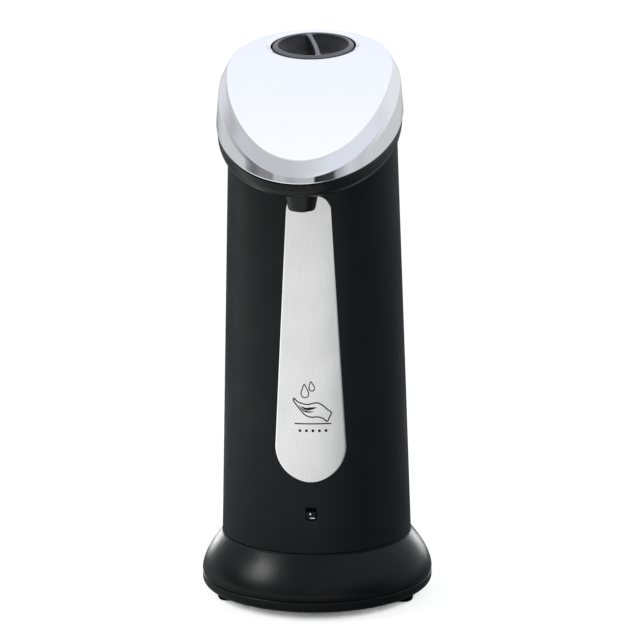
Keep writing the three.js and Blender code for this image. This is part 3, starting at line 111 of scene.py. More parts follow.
# Head: two half ellipses in plan, widest in front of the body axis. Its split, ridge and face are
# shallow arcs, given by their height at the front, at the rear and their rise in the middle
WIDEST = 12 * MM
SPLIT = (157.5 * MM, 180.5 * MM, 0.0)
RIDGE = (159.8 * MM, 191.5 * MM, 2.6 * MM)
FACE = (164.4 * MM, 195.0 * MM, 4.2 * MM)
FACE_INSET = (3.5 * MM, 3.5 * MM, 4.5 * MM)
CHIN_DROP = 5.6 * MM
OPENING_SETBACK = 8.998 * MM
OPENING_TILT = math.radians(11.45)

# The grip bar of the closed cap stands a little askew
BAR_TURN = math.radians(11)


def linear(code):
    """Turns an sRGB hex code into the linear colour that the shaders take."""
    values = []
    for start in (1, 3, 5):
        share = int(code[start:start + 2], 16) / 255
        values.append(share / 12.92 if share <= 0.04045 else ((share + 0.055) / 1.055) ** 2.4)
    return (*values, 1.0)


def length(name, text, default):
    """A size that the panel shows."""
    return bpy.props.FloatProperty(
        name=name, description=text, default=default, min=0.0, unit="LENGTH", precision=5,
    )


def tint(name, text, code):
    """A colour that the panel shows."""
    return bpy.props.FloatVectorProperty(
        name=name, description=text, default=linear(code), size=4, min=0.0, max=1.0,
        subtype="COLOR",
    )


class DispenserSizes(bpy.types.PropertyGroup):
    """Sizes of the visible pieces."""

    base_radius: length("Base radius", "Widest ring of the base", (BASE_HIGH.x - BASE_LOW.x) / 2)
    foot_radius: length(
        "Sleeve radius", "Sleeve at the seam", (SLEEVE_HIGH.x - SLEEVE_LOW.x) / 2,
    )
    wall: length("Wall", "Wall of the moulded shells", 2 * MM)
    edge_round: length("Edge round", "Rounding of the moulded edges", 0.22 * MM)
    head_half_width: length(
        "Head half width", "Half the width of the head", (COVER_HIGH.x - COVER_LOW.x) / 2,
    )
    head_front: length("Head front reach", "From the body axis", AXIS_Y - COVER_LOW.y)
    head_rear: length("Head rear reach", "From the body axis", COVER_HIGH.y - AXIS_Y)
    opening_radius: length("Opening radius", "Opening round the cap", 15.3 * MM)
    cap_radius: length("Cap radius", "Ring of the filler cap", 14.2 * MM)
    plate_bottom_radius: length("Plate bottom radius", "Round foot of the plate", 12.1 * MM)
    plate_top_half: length("Plate top half width", "Half the top of the plate", 7.6 * MM)
    plate_rim: length("Plate rim", "Width of the polished rim", 0.4 * MM)
    stroke: length("Stroke", "Line width of the print", 0.42 * MM)


class DispenserColours(bpy.types.PropertyGroup):
    """Colours of the finishes."""

    body: tint("Body", "Moulded black sleeve", "#191b1c")
    base: tint("Base", "Smoother black base", "#0c0d0e")
    cap: tint("Cap", "Dish of the filler cap", "#323236")
    gloss: tint("Satin black", "Cap, plug and lower head shell", "#141516")
    # The grip tint greys the upward faces of the cap's rim and bar: a painted highlight
    grip: tint("Grip", "Highlit rim and grip bar of the cap", "#77777d")
    chrome: tint("Chrome", "Head cover", "#f8f9fc")
    plate: tint("Plate", "Brushed front plate", "#f1f1ef")
    ink: tint("Ink", "Print on the plate", "#101112")
    lens: tint("Lens", "Infrared window", "#0b0b0d")
    rubber: tint("Rubber", "Feet", "#141414")
    silicone: tint("Silicone", "Hose, seals and nozzle tip", "#d5dad9")
    acetal: tint("Acetal", "Gears, pump and knob", "#e9e9e4")
    frosted: tint("Frosted", "Tank and lid", "#dfe5e6")
    board: tint("Board", "Solder mask", "#1f5a38")
    wrap: tint("Cell wrap", "Sleeve of the cells", "#2f5f8c")
    red: tint("Red lead", "Insulation", "#a81f1c")
    black: tint("Black lead", "Insulation", "#171717")


# Mesh helpers


def bent(start, bend, end, steps):
    """Points along a curve from start to end that leans towards bend."""
    points = []
    for step in range(steps + 1):
        share = step / steps
        points.append(
            start * (1 - share) ** 2 + bend * 2 * share * (1 - share) + end * share ** 2
        )
    return points


def eased(corners, closed=True, steps=CURVE_STEPS):
    """Rounds each corner (point, reach) by a short curve with a support point on either side."""
    points = []
    for place, (here, reach) in enumerate(corners):
        if reach == 0 or (not closed and place in (0, len(corners) - 1)):
            points.append(here.copy())
            continue
        before = corners[place - 1][0] - here
        after = corners[(place + 1) % len(corners)][0] - here
        start = here + before.normalized() * min(reach, before.length * SIDE_SHARE)
        end = here + after.normalized() * min(reach, after.length * SIDE_SHARE)
        points.append(here + (start - here) * SUPPORT_SHARE)
        points += bent(start, here, end, steps)
        points.append(here + (end - here) * SUPPORT_SHARE)
    return points


def flat(*corners):
    """Profile corners given in mm as (across, up, reach)."""
    return [(Vector((x * MM, z * MM)), reach * MM) for x, z, reach in corners]


def solid(points, faces):
    """A closed mesh: doubles merged, flat faces dropped, faces turned outwards."""
    work = bmesh.new()
    corners = [work.verts.new(point) for point in points]
    for face in faces:
        work.faces.new([corners[index] for index in face])
    bmesh.ops.remove_doubles(work, verts=work.verts[:], dist=MERGE)
    bmesh.ops.dissolve_degenerate(work, edges=work.edges[:], dist=MERGE)
    bmesh.ops.recalc_face_normals(work, faces=work.faces[:])
    return work


def skin(rings, loop=False, caps=False):
    """Faces between closed rings of equal count."""
    count = len(rings[0])
    points = [point for ring in rings for point in ring]
    faces = []
    for layer in range(len(rings) if loop else len(rings) - 1):
        above = (layer + 1) % len(rings)
        for step in range(count):
            after = (step + 1) % count
            faces.append((
                layer * count + step, layer * count + after,
                above * count + after, above * count + step,
            ))
    if caps:
        faces.append(tuple(range(count)))
        faces.append(tuple((len(rings) - 1) * count + step for step in range(count)))
    return solid(points, faces)


def lathe(profile, loop=False, place=None, segments=SEGMENTS):
    """Turns a profile of (radius, height) round an upright axis."""
    place = place or Matrix.Translation((0, AXIS_Y, 0))
    rings = []
    for radius, height in profile:
        ring = []
        for step in range(segments):
            angle = math.tau * step / segments
            spot = Vector((radius * math.cos(angle), radius * math.sin(angle), height))
            ring.append(place @ spot)
        rings.append(ring)
    return skin(rings, loop)


def turned(corners, loop=False, place=None, segments=SEGMENTS, steps=CURVE_STEPS):
    """Turns a profile of rounded corners round an upright axis."""
    profile = [tuple(point) for point in eased(corners, loop, steps)]
    return lathe(profile, loop, place, segments)


def prism(outline, bottom, top):
    """An upright block over a plan outline."""
    rings = [[Vector((x, y, z)) for x, y in outline] for z in (bottom, top)]
    return skin(rings, caps=True)


def rounded_box(low, high, reach):
    """A block whose upright edges are rounded."""
    corners = [
        (Vector((low[0], low[1])), reach), (Vector((high[0], low[1])), reach),
        (Vector((high[0], high[1])), reach), (Vector((low[0], high[1])), reach),
    ]
    return prism(eased(corners), low[2], high[2])


def as_mesh(work, name):
    """Keeps the shape as a mesh of that name."""
    mesh = bpy.data.meshes.new(name)
    work.to_mesh(mesh)
    work.free()
    return mesh


def combine(base, *tools):
    """Exact booleans, in order, of (operation, mesh) on a base mesh."""
    objects = []
    for name, work in [("base", base)] + [("tool", tool) for _, tool in tools]:
        thing = bpy.data.objects.new(name, as_mesh(work, name))
        bpy.context.scene.collection.objects.link(thing)
        objects.append(thing)
    for (operation, _), thing in zip(tools, objects[1:]):
        modifier = objects[0].modifiers.new("cut", "BOOLEAN")
        modifier.operation = operation
        modifier.solver = "EXACT"
        modifier.object = thing
    mesh = evaluated(objects[0])
    work = bmesh.new()
    work.from_mesh(mesh)
    bpy.data.meshes.remove(mesh)
    for thing in objects:
        bpy.data.objects.remove(thing)
    bmesh.ops.remove_doubles(work, verts=work.verts[:], dist=MERGE)
    return work


def evaluated(thing):
    """The plain mesh that an object's modifiers give."""
    graph = bpy.context.evaluated_depsgraph_get()
    return bpy.data.meshes.new_from_object(thing.evaluated_get(graph))


def merged(*works):
    """Several closed meshes in one."""
    whole = works[0]
    for work in works[1:]:
        mesh = as_mesh(work, "part")
        whole.from_mesh(mesh)
        bpy.data.meshes.remove(mesh)
    return whole


def finished(name, work, finishes, body, slot, *nodes):
    """The piece as an object at the origin, on its body, standing for its CAD nodes."""
    if work.calc_volume(signed=True) < 0:
        bmesh.ops.reverse_faces(work, faces=work.faces[:])
    mesh = as_mesh(work, name)
    for finish in finishes:
        mesh.materials.append(finish)
    mesh.shade_smooth()
    mesh.set_sharp_from_angle(angle=SHARP_ANGLE)
    thing = bpy.data.objects.new(name, mesh)
    bpy.context.scene.collection.objects.link(thing)
    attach(thing, body)
    if nodes:
        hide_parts(*nodes)
    return thing


# Node helpers


def add(tree, kind, settings=None, inputs=None):
    """Adds a node with its settings; an input is a value or (node, output)."""
    node = tree.nodes.new(kind)
    for name, value in (settings or {}).items():
        setattr(node, name, value)
    for name, value in (inputs or {}).items():
        if isinstance(value, list):
            for source, output in value:
                tree.links.new(source.outputs[output], node.inputs[name])
        elif isinstance(value, tuple) and isinstance(value[0], bpy.types.Node):
            tree.links.new(value[0].outputs[value[1]], node.inputs[name])
        else:
            node.inputs[name].default_value = value
    return node


def plan(name, sizes, geometry=False):
    """A Geometry Nodes tree with one input for each size, and a material input."""
    tree = bpy.data.node_groups.new(name, "GeometryNodeTree")
    tree.interface.new_socket(
        name="Geometry", in_out="OUTPUT", socket_type="NodeSocketGeometry",
    )
    if geometry:
        tree.interface.new_socket(
            name="Points", in_out="INPUT", socket_type="NodeSocketGeometry",
        )
    for label, value in sizes.items():
        kind = {int: "NodeSocketInt", float: "NodeSocketFloat"}.get(type(value))
        socket = tree.interface.new_socket(
            name=label, in_out="INPUT", socket_type=kind or "NodeSocketVector",
        )
        socket.default_value = value
    tree.interface.new_socket(name="Material", in_out="INPUT", socket_type="NodeSocketMaterial")
    return tree, add(tree, "NodeGroupInput")


def close(tree, given, last, output):
    """Ends a tree in Realize Instances and Set Material."""
    real = add(tree, "GeometryNodeRealizeInstances", None, {"Geometry": (last, output)})
    painted = add(
        tree, "GeometryNodeSetMaterial", None,
        {"Geometry": (real, "Geometry"), "Material": (given, "Material")},
    )
    add(tree, "NodeGroupOutput", None, {"Geometry": (painted, "Geometry")})


def grown(tree, sizes, finish, points=()):
    """Runs a tree on a few points and returns its mesh; the modifier goes with its holder."""
    seed = bpy.data.meshes.new("points")
    seed.from_pydata([tuple(point) for point in points], [], [])
    holder = bpy.data.objects.new("holder", seed)
    bpy.context.scene.collection.objects.link(holder)
    modifier = holder.modifiers.new("shape", "NODES")
    modifier.node_group = tree
    for item in tree.interface.items_tree:
        if item.in_out == "INPUT" and item.name in sizes:
            modifier[item.identifier] = sizes[item.name]
        if item.in_out == "INPUT" and item.name == "Material":
            modifier[item.identifier] = finish
    mesh = evaluated(holder)
    holder.modifiers.remove(modifier)
    bpy.data.objects.remove(holder)
    work = bmesh.new()
    work.from_mesh(mesh)
    bpy.data.meshes.remove(mesh)
    bmesh.ops.remove_doubles(work, verts=work.verts[:], dist=MERGE)
    bmesh.ops.recalc_face_normals(work, faces=work.faces[:])
    return work


# Finishes

# How wide the patches of wear and handling are
CLOUD_SIZE = 14 * MM
ABS_IOR = 1.53


def surface(name, values):
    """A material with a single shader of the given values."""
    finish = bpy.data.materials.new(name)
    finish.use_nodes = True
    tree = finish.node_tree
    tree.nodes.clear()
    shader = add(tree, "ShaderNodeBsdfPrincipled", None, values)
    add(tree, "ShaderNodeOutputMaterial", None, {"Surface": (shader, "BSDF")})
    return finish, tree, shader


def grained(name, colour, values, grain, lift, spread, rough, stretch=(1.0, 1.0, 1.0)):
    """A finish whose colour and relief follow a fine grain, and its roughness a wider cloud."""
    finish, tree, shader = surface(name, values)
    place = add(tree, "ShaderNodeTexCoord")
    drawn = add(
        tree, "ShaderNodeMapping", None, {"Vector": (place, "Object"), "Scale": stretch},
    )
    fine = add(
        tree, "ShaderNodeTexNoise", None,
        {"Vector": (drawn, "Vector"), "Scale": 1 / grain, "Detail": 3.0, "Roughness": 0.6},
    )
    cloud = add(
        tree, "ShaderNodeTexNoise", None,
        {"Vector": (place, "Object"), "Scale": 1 / CLOUD_SIZE, "Detail": 2.0},
    )
    dark = (*(channel * (1 - spread) for channel in colour[:3]), 1.0)
    pale = (*(min(1.0, channel * (1 + spread)) for channel in colour[:3]), 1.0)
    mixed = add(
        tree, "ShaderNodeMix", {"data_type": "RGBA"}, {0: (fine, "Fac"), 6: dark, 7: pale},
    )
    worn = add(
        tree, "ShaderNodeMapRange", None,
        {"Value": (cloud, "Fac"), "From Min": 0.35, "From Max": 0.65,
         "To Min": rough[0], "To Max": rough[1]},
    )
    relief = add(
        tree, "ShaderNodeBump", None, {"Height": (fine, "Fac"), "Distance": lift},
    )
    tree.links.new(mixed.outputs[2], shader.inputs["Base Color"])
    tree.links.new(worn.outputs["Result"], shader.inputs["Roughness"])
    tree.links.new(relief.outputs["Normal"], shader.inputs["Normal"])
    return finish, tree, shader


def moulded_abs(name, colour, level, rough):
    """ABS moulded on an eroded tool: matt black, a fine even grain, soft bright edges."""
    return grained(
        name, colour, {"IOR": ABS_IOR, "Specular IOR Level": level},
        0.35 * MM, 0.02 * MM, 0.18, (rough - 0.04, rough + 0.04),
    )[0]


def gloss_abs(colour):
    """ABS from a polished tool: black with a soft sheen and faint handling marks."""
    return grained(
        "satin black ABS", colour, {"IOR": ABS_IOR, "Specular IOR Level": 0.22},
        0.8 * MM, 0.005 * MM, 0.1, (0.24, 0.32),
    )[0]


def highlight_painted_abs(colour):
    """The same ABS greyed as a painted highlight where the rim and the grip bar face up, with a
    coarser grain.
    """
    return grained(
        "handled black ABS", colour, {"IOR": ABS_IOR, "Specular IOR Level": 0.5},
        0.5 * MM, 0.01 * MM, 0.25, (0.3, 0.45),
    )[0]


def chrome_plated(colour):
    """Chromed ABS: a near mirror with a faint ripple of the moulding under the plating."""
    return grained(
        "chrome-plated ABS", colour, {"Metallic": 1.0},
        22 * MM, 0.02 * MM, 0.01, (0.05, 0.08),
    )[0]


def brushed_steel(colour):
    """Stainless sheet brushed lengthwise: hairlines 0.2 mm apart, which spread light sideways."""
    return grained(
        "brushed stainless steel", colour, {"Metallic": 1.0},
        0.22 * MM, 0.012 * MM, 0.1, (0.42, 0.5), (1.0, 1.0, 0.012),
    )[0]


def polished_edge(colour):
    """The cut edge of the sheet: bright and smooth."""
    return grained(
        "polished stainless edge", colour, {"Metallic": 1.0},
        0.5 * MM, 0.002 * MM, 0.03, (0.12, 0.2),
    )[0]


def screen_ink(colour):
    """Screen-printed ink: flat black with a slight orange peel."""
    return grained(
        "screen-printed ink", colour, {"Specular IOR Level": 0.3},
        0.25 * MM, 0.004 * MM, 0.1, (0.4, 0.55),
    )[0]


def dark_lens(colour):
    """Infrared filter acrylic: nearly black, clear gloss."""
    return grained(
        "infrared filter acrylic", colour, {"IOR": 1.49, "Specular IOR Level": 0.15},
        1.2 * MM, 0.002 * MM, 0.1, (0.05, 0.1),
    )[0]


def soft_rubber(colour):
    """Nitrile rubber: dull black with a dusty bloom."""
    return grained(
        "nitrile rubber", colour, {"Specular IOR Level": 0.25},
        0.3 * MM, 0.03 * MM, 0.3, (0.7, 0.85),
    )[0]


def clear_silicone(colour):
    """Silicone: milky, slightly translucent, with a soft skin."""
    return grained(
        "milky silicone", colour,
        {"IOR": 1.42, "Subsurface Weight": 0.3, "Subsurface Scale": 2 * MM},
        0.6 * MM, 0.008 * MM, 0.05, (0.3, 0.45),
    )[0]


def white_acetal(colour):
    """Acetal: waxy off-white, low gloss."""
    return grained(
        "moulded acetal", colour, {"IOR": 1.48},
        0.5 * MM, 0.008 * MM, 0.04, (0.35, 0.45),
    )[0]


def frosted_pp(colour):
    """Polypropylene: milky and half clear, with a fine satin face."""
    return grained(
        "frosted polypropylene", colour,
        {"IOR": 1.49, "Transmission Weight": 0.35, "Subsurface Weight": 0.2,
         "Subsurface Scale": 2 * MM},
        0.5 * MM, 0.015 * MM, 0.05, (0.4, 0.55),
    )[0]


def bare_metal(name, code, grain, rough):
    """Plain metal with the fine marks of rolling or turning."""
    return grained(
        name, linear(code), {"Metallic": 1.0}, grain, 0.004 * MM, 0.08, rough,
    )[0]


def solder_mask(colour):
    """Glass-epoxy board: a glossy mask over darker copper tracks 1.2 mm apart."""
    finish, tree, shader = grained(
        "solder mask over copper", colour, {"Coat Weight": 0.3, "Coat Roughness": 0.1},
        0.4 * MM, 0.004 * MM, 0.12, (0.25, 0.4),
    )
    place = add(tree, "ShaderNodeTexCoord")
    tracks = add(
        tree, "ShaderNodeTexBrick", {"offset": 0.5, "squash": 1.0},
        {"Vector": (place, "Object"), "Scale": 1.0, "Brick Width": 5 * MM,
         "Row Height": 1.2 * MM, "Mortar Size": 0.16 * MM,
         "Color1": colour, "Color2": (*(channel * 0.8 for channel in colour[:3]), 1.0),
         "Mortar": linear("#2f7a4c")},
    )
    tree.links.new(tracks.outputs["Color"], shader.inputs["Base Color"])
    return finish


def lead_insulation(name, colour):
    """PVC insulation: soft gloss, slightly uneven from drawing."""
    return grained(
        name, colour, {"IOR": 1.52}, 0.7 * MM, 0.01 * MM, 0.06, (0.3, 0.4),
    )[0]


def cell_wrap(colour):
    """Shrink sleeve of a cell: a thin glossy film, a little cloudy from handling."""
    return grained(
        "printed shrink film", colour, {"Coat Weight": 0.5, "Coat Roughness": 0.12},
        1.5 * MM, 0.006 * MM, 0.08, (0.25, 0.35),
    )[0]


FINISHES = {}


def finishes():
    """Makes each finish once, from the colours in the panel."""
    if FINISHES:
        return FINISHES
    colours = bpy.context.scene.dispenser_colours
    tints = {name: tuple(getattr(colours, name)) for name in colours.__annotations__}
    FINISHES.update({
        "body": moulded_abs("moulded black ABS", tints["body"], 0.18, 0.42),
        "base": moulded_abs("polished black ABS", tints["base"], 0.2, 0.3),
        "cap": moulded_abs("soft black ABS", tints["cap"], 0.25, 0.4),
        "gloss": gloss_abs(tints["gloss"]),
        # The grey of the cap's rim and bar tops is a painted highlight
        "grip": highlight_painted_abs(tints["grip"]),
        "chrome": chrome_plated(tints["chrome"]),
        "plate": brushed_steel(tints["plate"]),
        "edge": polished_edge(tints["plate"]),
        "ink": screen_ink(tints["ink"]),
        "lens": dark_lens(tints["lens"]),
        "rubber": soft_rubber(tints["rubber"]),
        "silicone": clear_silicone(tints["silicone"]),
        "acetal": white_acetal(tints["acetal"]),
        "frosted": frosted_pp(tints["frosted"]),
        "steel": bare_metal("zinc-plated steel", "#b9bcc0", 0.4 * MM, (0.25, 0.35)),
        "spring": bare_metal("nickel-plated spring wire", "#c4c2ba", 0.3 * MM, (0.2, 0.3)),
        "brass": bare_metal("turned brass", "#c9a45a", 0.3 * MM, (0.25, 0.35)),
        "board": solder_mask(tints["board"]),
        "wrap": cell_wrap(tints["wrap"]),
        "red": lead_insulation("red PVC insulation", tints["red"]),
        "black": lead_insulation("black PVC insulation", tints["black"]),
    })
    return FINISHES


# Shapes of the body and the head. A setback is a distance behind the body axis


def sleeve_radius(height):
    """The sleeve narrows evenly from the seam upwards."""
    return bpy.context.scene.dispenser_sizes.foot_radius - BODY_TAPER * (height - SEAM_HEIGHT)


def arch(setback, front, rear, heights):
    """Height along a shallow arc from the front of the head to its rear."""
    low, high, rise = heights
    share = (setback + front) / (front + rear)
    return low + (high - low) * share + 4 * rise * share * (1 - share)


def split_height(setback):
    """The seam between the head cover and the lower head shell."""
    sizes = bpy.context.scene.dispenser_sizes
    return arch(setback, sizes.head_front, sizes.head_rear, SPLIT)


def ridge_height(setback):
    """The ridge where the side band turns into the bevel."""
    sizes = bpy.context.scene.dispenser_sizes
    return arch(setback, sizes.head_front, sizes.head_rear, RIDGE)


def face_height(setback):
    """The arched face on top of the head."""
    sizes = bpy.context.scene.dispenser_sizes
    _, rear, front = FACE_INSET
    return arch(setback, sizes.head_front - front, sizes.head_rear - rear, FACE)


def head_ring(side, rear, front, height_at):
    """The oval of the head, given how far it lies inside the widest oval."""
    sizes = bpy.context.scene.dispenser_sizes
    ring = []
    for step in range(COLUMNS):
        angle = math.pi / 2 + math.tau * step / COLUMNS
        reach = sizes.head_front - front - WIDEST
        if math.sin(angle) > 0:
            reach = sizes.head_rear - rear + WIDEST
        setback = reach * math.sin(angle) - WIDEST
        across = (sizes.head_half_width - side) * math.cos(angle)
        ring.append(Vector((across, setback + AXIS_Y, height_at(setback))))
    return ring


def split_ring(inset, rise):
    """An oval along the seam, evenly inside the widest one."""
    return head_ring(inset, inset, inset, lambda setback: split_height(setback) + rise)


OPENING_CENTRE = Vector((0, OPENING_SETBACK + AXIS_Y, 0))


def opening_frame():
    """Stands on the face, square to it, with z along the cap's axis."""
    origin = OPENING_CENTRE.copy()
    origin.z = face_height(OPENING_SETBACK)
    return Matrix.Translation(origin) @ Matrix.Rotation(OPENING_TILT, 4, "X")


def opening_ring(outer, radius, depth=None):
    """A circle of the opening, one point towards each point of an oval; on the face or deeper."""
    place = opening_frame()
    ring = []
    for point in outer:
        away = point - OPENING_CENTRE
        angle = math.atan2(away.y / math.cos(OPENING_TILT), away.x)
        across, along = radius * math.cos(angle), radius * math.sin(angle)
        level = depth or 0.0
        spot = place @ Vector((across, along, level))
        # Without a depth, a few steps bring the point onto the arched face
        for _ in range(4 if depth is None else 0):
            level += (face_height(spot.y - AXIS_Y) - spot.z) / math.cos(OPENING_TILT)
            spot = place @ Vector((across, along, level))
        ring.append(spot)
    return ring


def between(outer, inner, share, drop):
    """A ring part of the way between two rings, set on the face or below it."""
    ring = []
    for start, end in zip(outer, inner):
        spot = start.lerp(end, share)
        spot.z = face_height(spot.y - AXIS_Y) - drop
        ring.append(spot)
    return ring


def columns(rings):
    """Rounds each column of (ring, reach) and returns the rings of the closed shell."""
    shaped = []
    for step in range(COLUMNS):
        shaped.append(eased([(ring[step], reach) for ring, reach in rings]))
    return [list(ring) for ring in zip(*shaped)]


def on_sleeve(x, z, lift):
    """A point on the front of the sleeve, lifted off it."""
    radius = sleeve_radius(z) + lift
    return Vector((x, AXIS_Y - math.sqrt(radius * radius - x * x), z))


class DispenserPiece:
    """Shared by the operators that make a piece."""

    bl_options = {"REGISTER", "UNDO"}


class DISPENSER_OT_sleeve(DispenserPiece, bpy.types.Operator):
    """Tapered body sleeve with the slot of the sensor window, cut off along the head's slant"""

    bl_idname = "dispenser.sleeve"
    bl_label = "Body sleeve"

    def execute(self, context):
        sizes = context.scene.dispenser_sizes
        slant = math.atan((SPLIT[1] - SPLIT[0]) / (sizes.head_front + sizes.head_rear))
        head_gap = 0.3 * MM
        slot_rise = 14.65 * MM
        slot_clear = 3 * MM
        # The block that cuts the slanted top is wider and taller than the sleeve
        block_size = 0.4
        block_height = 0.2
        slot_depth = 9 * MM
        values = {
            "Segments": SEGMENTS,
            "Foot Radius": sizes.foot_radius,
            "Taper": sizes.foot_radius - sleeve_radius(SLEEVE_REACH),
            "Height": SLEEVE_REACH - SEAM_HEIGHT,
            "Wall": sizes.wall,
            "Edge Round": sizes.edge_round,
            "Foot Centre": (0.0, AXIS_Y, SEAM_HEIGHT),
            "Slant": (slant, 0.0, 0.0),
            "Slant Centre": (0.0, AXIS_Y, split_height(0) - CHIN_DROP - head_gap),
            "Slot Width": 3.9 * MM,
            "Slot Height": 5.9 * MM,
            "Slot Round": 1.2 * MM,
            "Slot Centre": (
                0.0, AXIS_Y - sizes.foot_radius - slot_clear, SEAM_HEIGHT + slot_rise,
            ),
        }
        tree, given = plan("Tapered sleeve", values)
        # The wall's section: x outwards from the foot's radius, and -y upwards once it is swept
        inner_top = add(
            tree, "ShaderNodeMath", {"operation": "ADD"},
            {0: (given, "Taper"), 1: (given, "Wall")},
        )
        negative = [
            add(tree, "ShaderNodeMath", {"operation": "MULTIPLY"}, {0: source, 1: -1.0})
            for source in (
                (given, "Taper"), (inner_top, 0), (given, "Wall"), (given, "Height"),
            )
        ]
        spots = [
            add(tree, "ShaderNodeCombineXYZ", None, inputs) for inputs in (
                {"X": (negative[0], 0), "Y": (negative[3], 0)},
                {"X": (negative[1], 0), "Y": (negative[3], 0)},
                {"X": (negative[2], 0)},
            )
        ]
        section = add(
            tree, "GeometryNodeCurvePrimitiveQuadrilateral", {"mode": "POINTS"},
            {"Point 1": (0.0, 0.0, 0.0), "Point 2": (spots[0], 0), "Point 3": (spots[1], 0),
             "Point 4": (spots[2], 0)},
        )
        soft = add(
            tree, "GeometryNodeFilletCurve", {"mode": "POLY"},
            {"Curve": (section, "Curve"), "Radius": (given, "Edge Round"), "Count": 4,
             "Limit Radius": True},
        )
        circle = add(
            tree, "GeometryNodeCurvePrimitiveCircle", {"mode": "RADIUS"},
            {"Resolution": (given, "Segments"), "Radius": (given, "Foot Radius")},
        )
        swept = add(
            tree, "GeometryNodeCurveToMesh", None,
            {"Curve": (circle, "Curve"), "Profile Curve": (soft, "Curve")},
        )
        shell = add(
            tree, "GeometryNodeTransform", None,
            {"Geometry": (swept, "Mesh"), "Translation": (given, "Foot Centre")},
        )
        # A block that leans with the head takes the top off
        block = add(
            tree, "GeometryNodeMeshCube", None, {"Size": (block_size, block_size, block_height)},
        )
        raised = add(
            tree, "GeometryNodeTransform", None,
            {"Geometry": (block, "Mesh"), "Translation": (0.0, 0.0, block_height / 2)},
        )
        leaning = add(
            tree, "GeometryNodeTransform", None,
            {"Geometry": (raised, "Geometry"), "Rotation": (given, "Slant"),
             "Translation": (given, "Slant Centre")},
        )
        # A rounded plug cuts the slot
        slot_line = add(
            tree, "GeometryNodeCurvePrimitiveQuadrilateral", {"mode": "RECTANGLE"},
            {"Width": (given, "Slot Width"), "Height": (given, "Slot Height")},
        )
        slot_soft = add(
            tree, "GeometryNodeFilletCurve", {"mode": "POLY"},
            {"Curve": (slot_line, "Curve"), "Radius": (given, "Slot Round"), "Count": 5},
        )
        filled = add(
            tree, "GeometryNodeFillCurve", {"mode": "NGONS"}, {"Curve": (slot_soft, "Curve")},
        )
        pulled = add(
            tree, "GeometryNodeExtrudeMesh", {"mode": "FACES"},
            {"Mesh": (filled, "Mesh"), "Offset Scale": slot_depth},
        )
        flipped = add(tree, "GeometryNodeFlipFaces", None, {"Mesh": (filled, "Mesh")})
        joined = add(
            tree, "GeometryNodeJoinGeometry", None,
            {"Geometry": [(flipped, "Mesh"), (pulled, "Mesh")]},
        )
        plug = add(
            tree, "GeometryNodeMergeByDistance", None,
            {"Geometry": (joined, "Geometry"), "Distance": 1e-6},
        )
        slot = add(
            tree, "GeometryNodeTransform", None,
            {"Geometry": (plug, "Geometry"), "Rotation": (-math.pi / 2, 0.0, 0.0),
             "Translation": (given, "Slot Centre")},
        )
        cut = add(
            tree, "GeometryNodeMeshBoolean", {"operation": "DIFFERENCE", "solver": "EXACT"},
            {"Mesh 1": (shell, "Geometry"),
             "Mesh 2": [(leaning, "Geometry"), (slot, "Geometry")]},
        )
        close(tree, given, cut, "Mesh")
        finish = finishes()["body"]
        work = grown(tree, values, finish)
        finished("body_sleeve_shell", work, [finish], MAIN_BODY, "black_case", "body_sleeve")
        return {"FINISHED"}


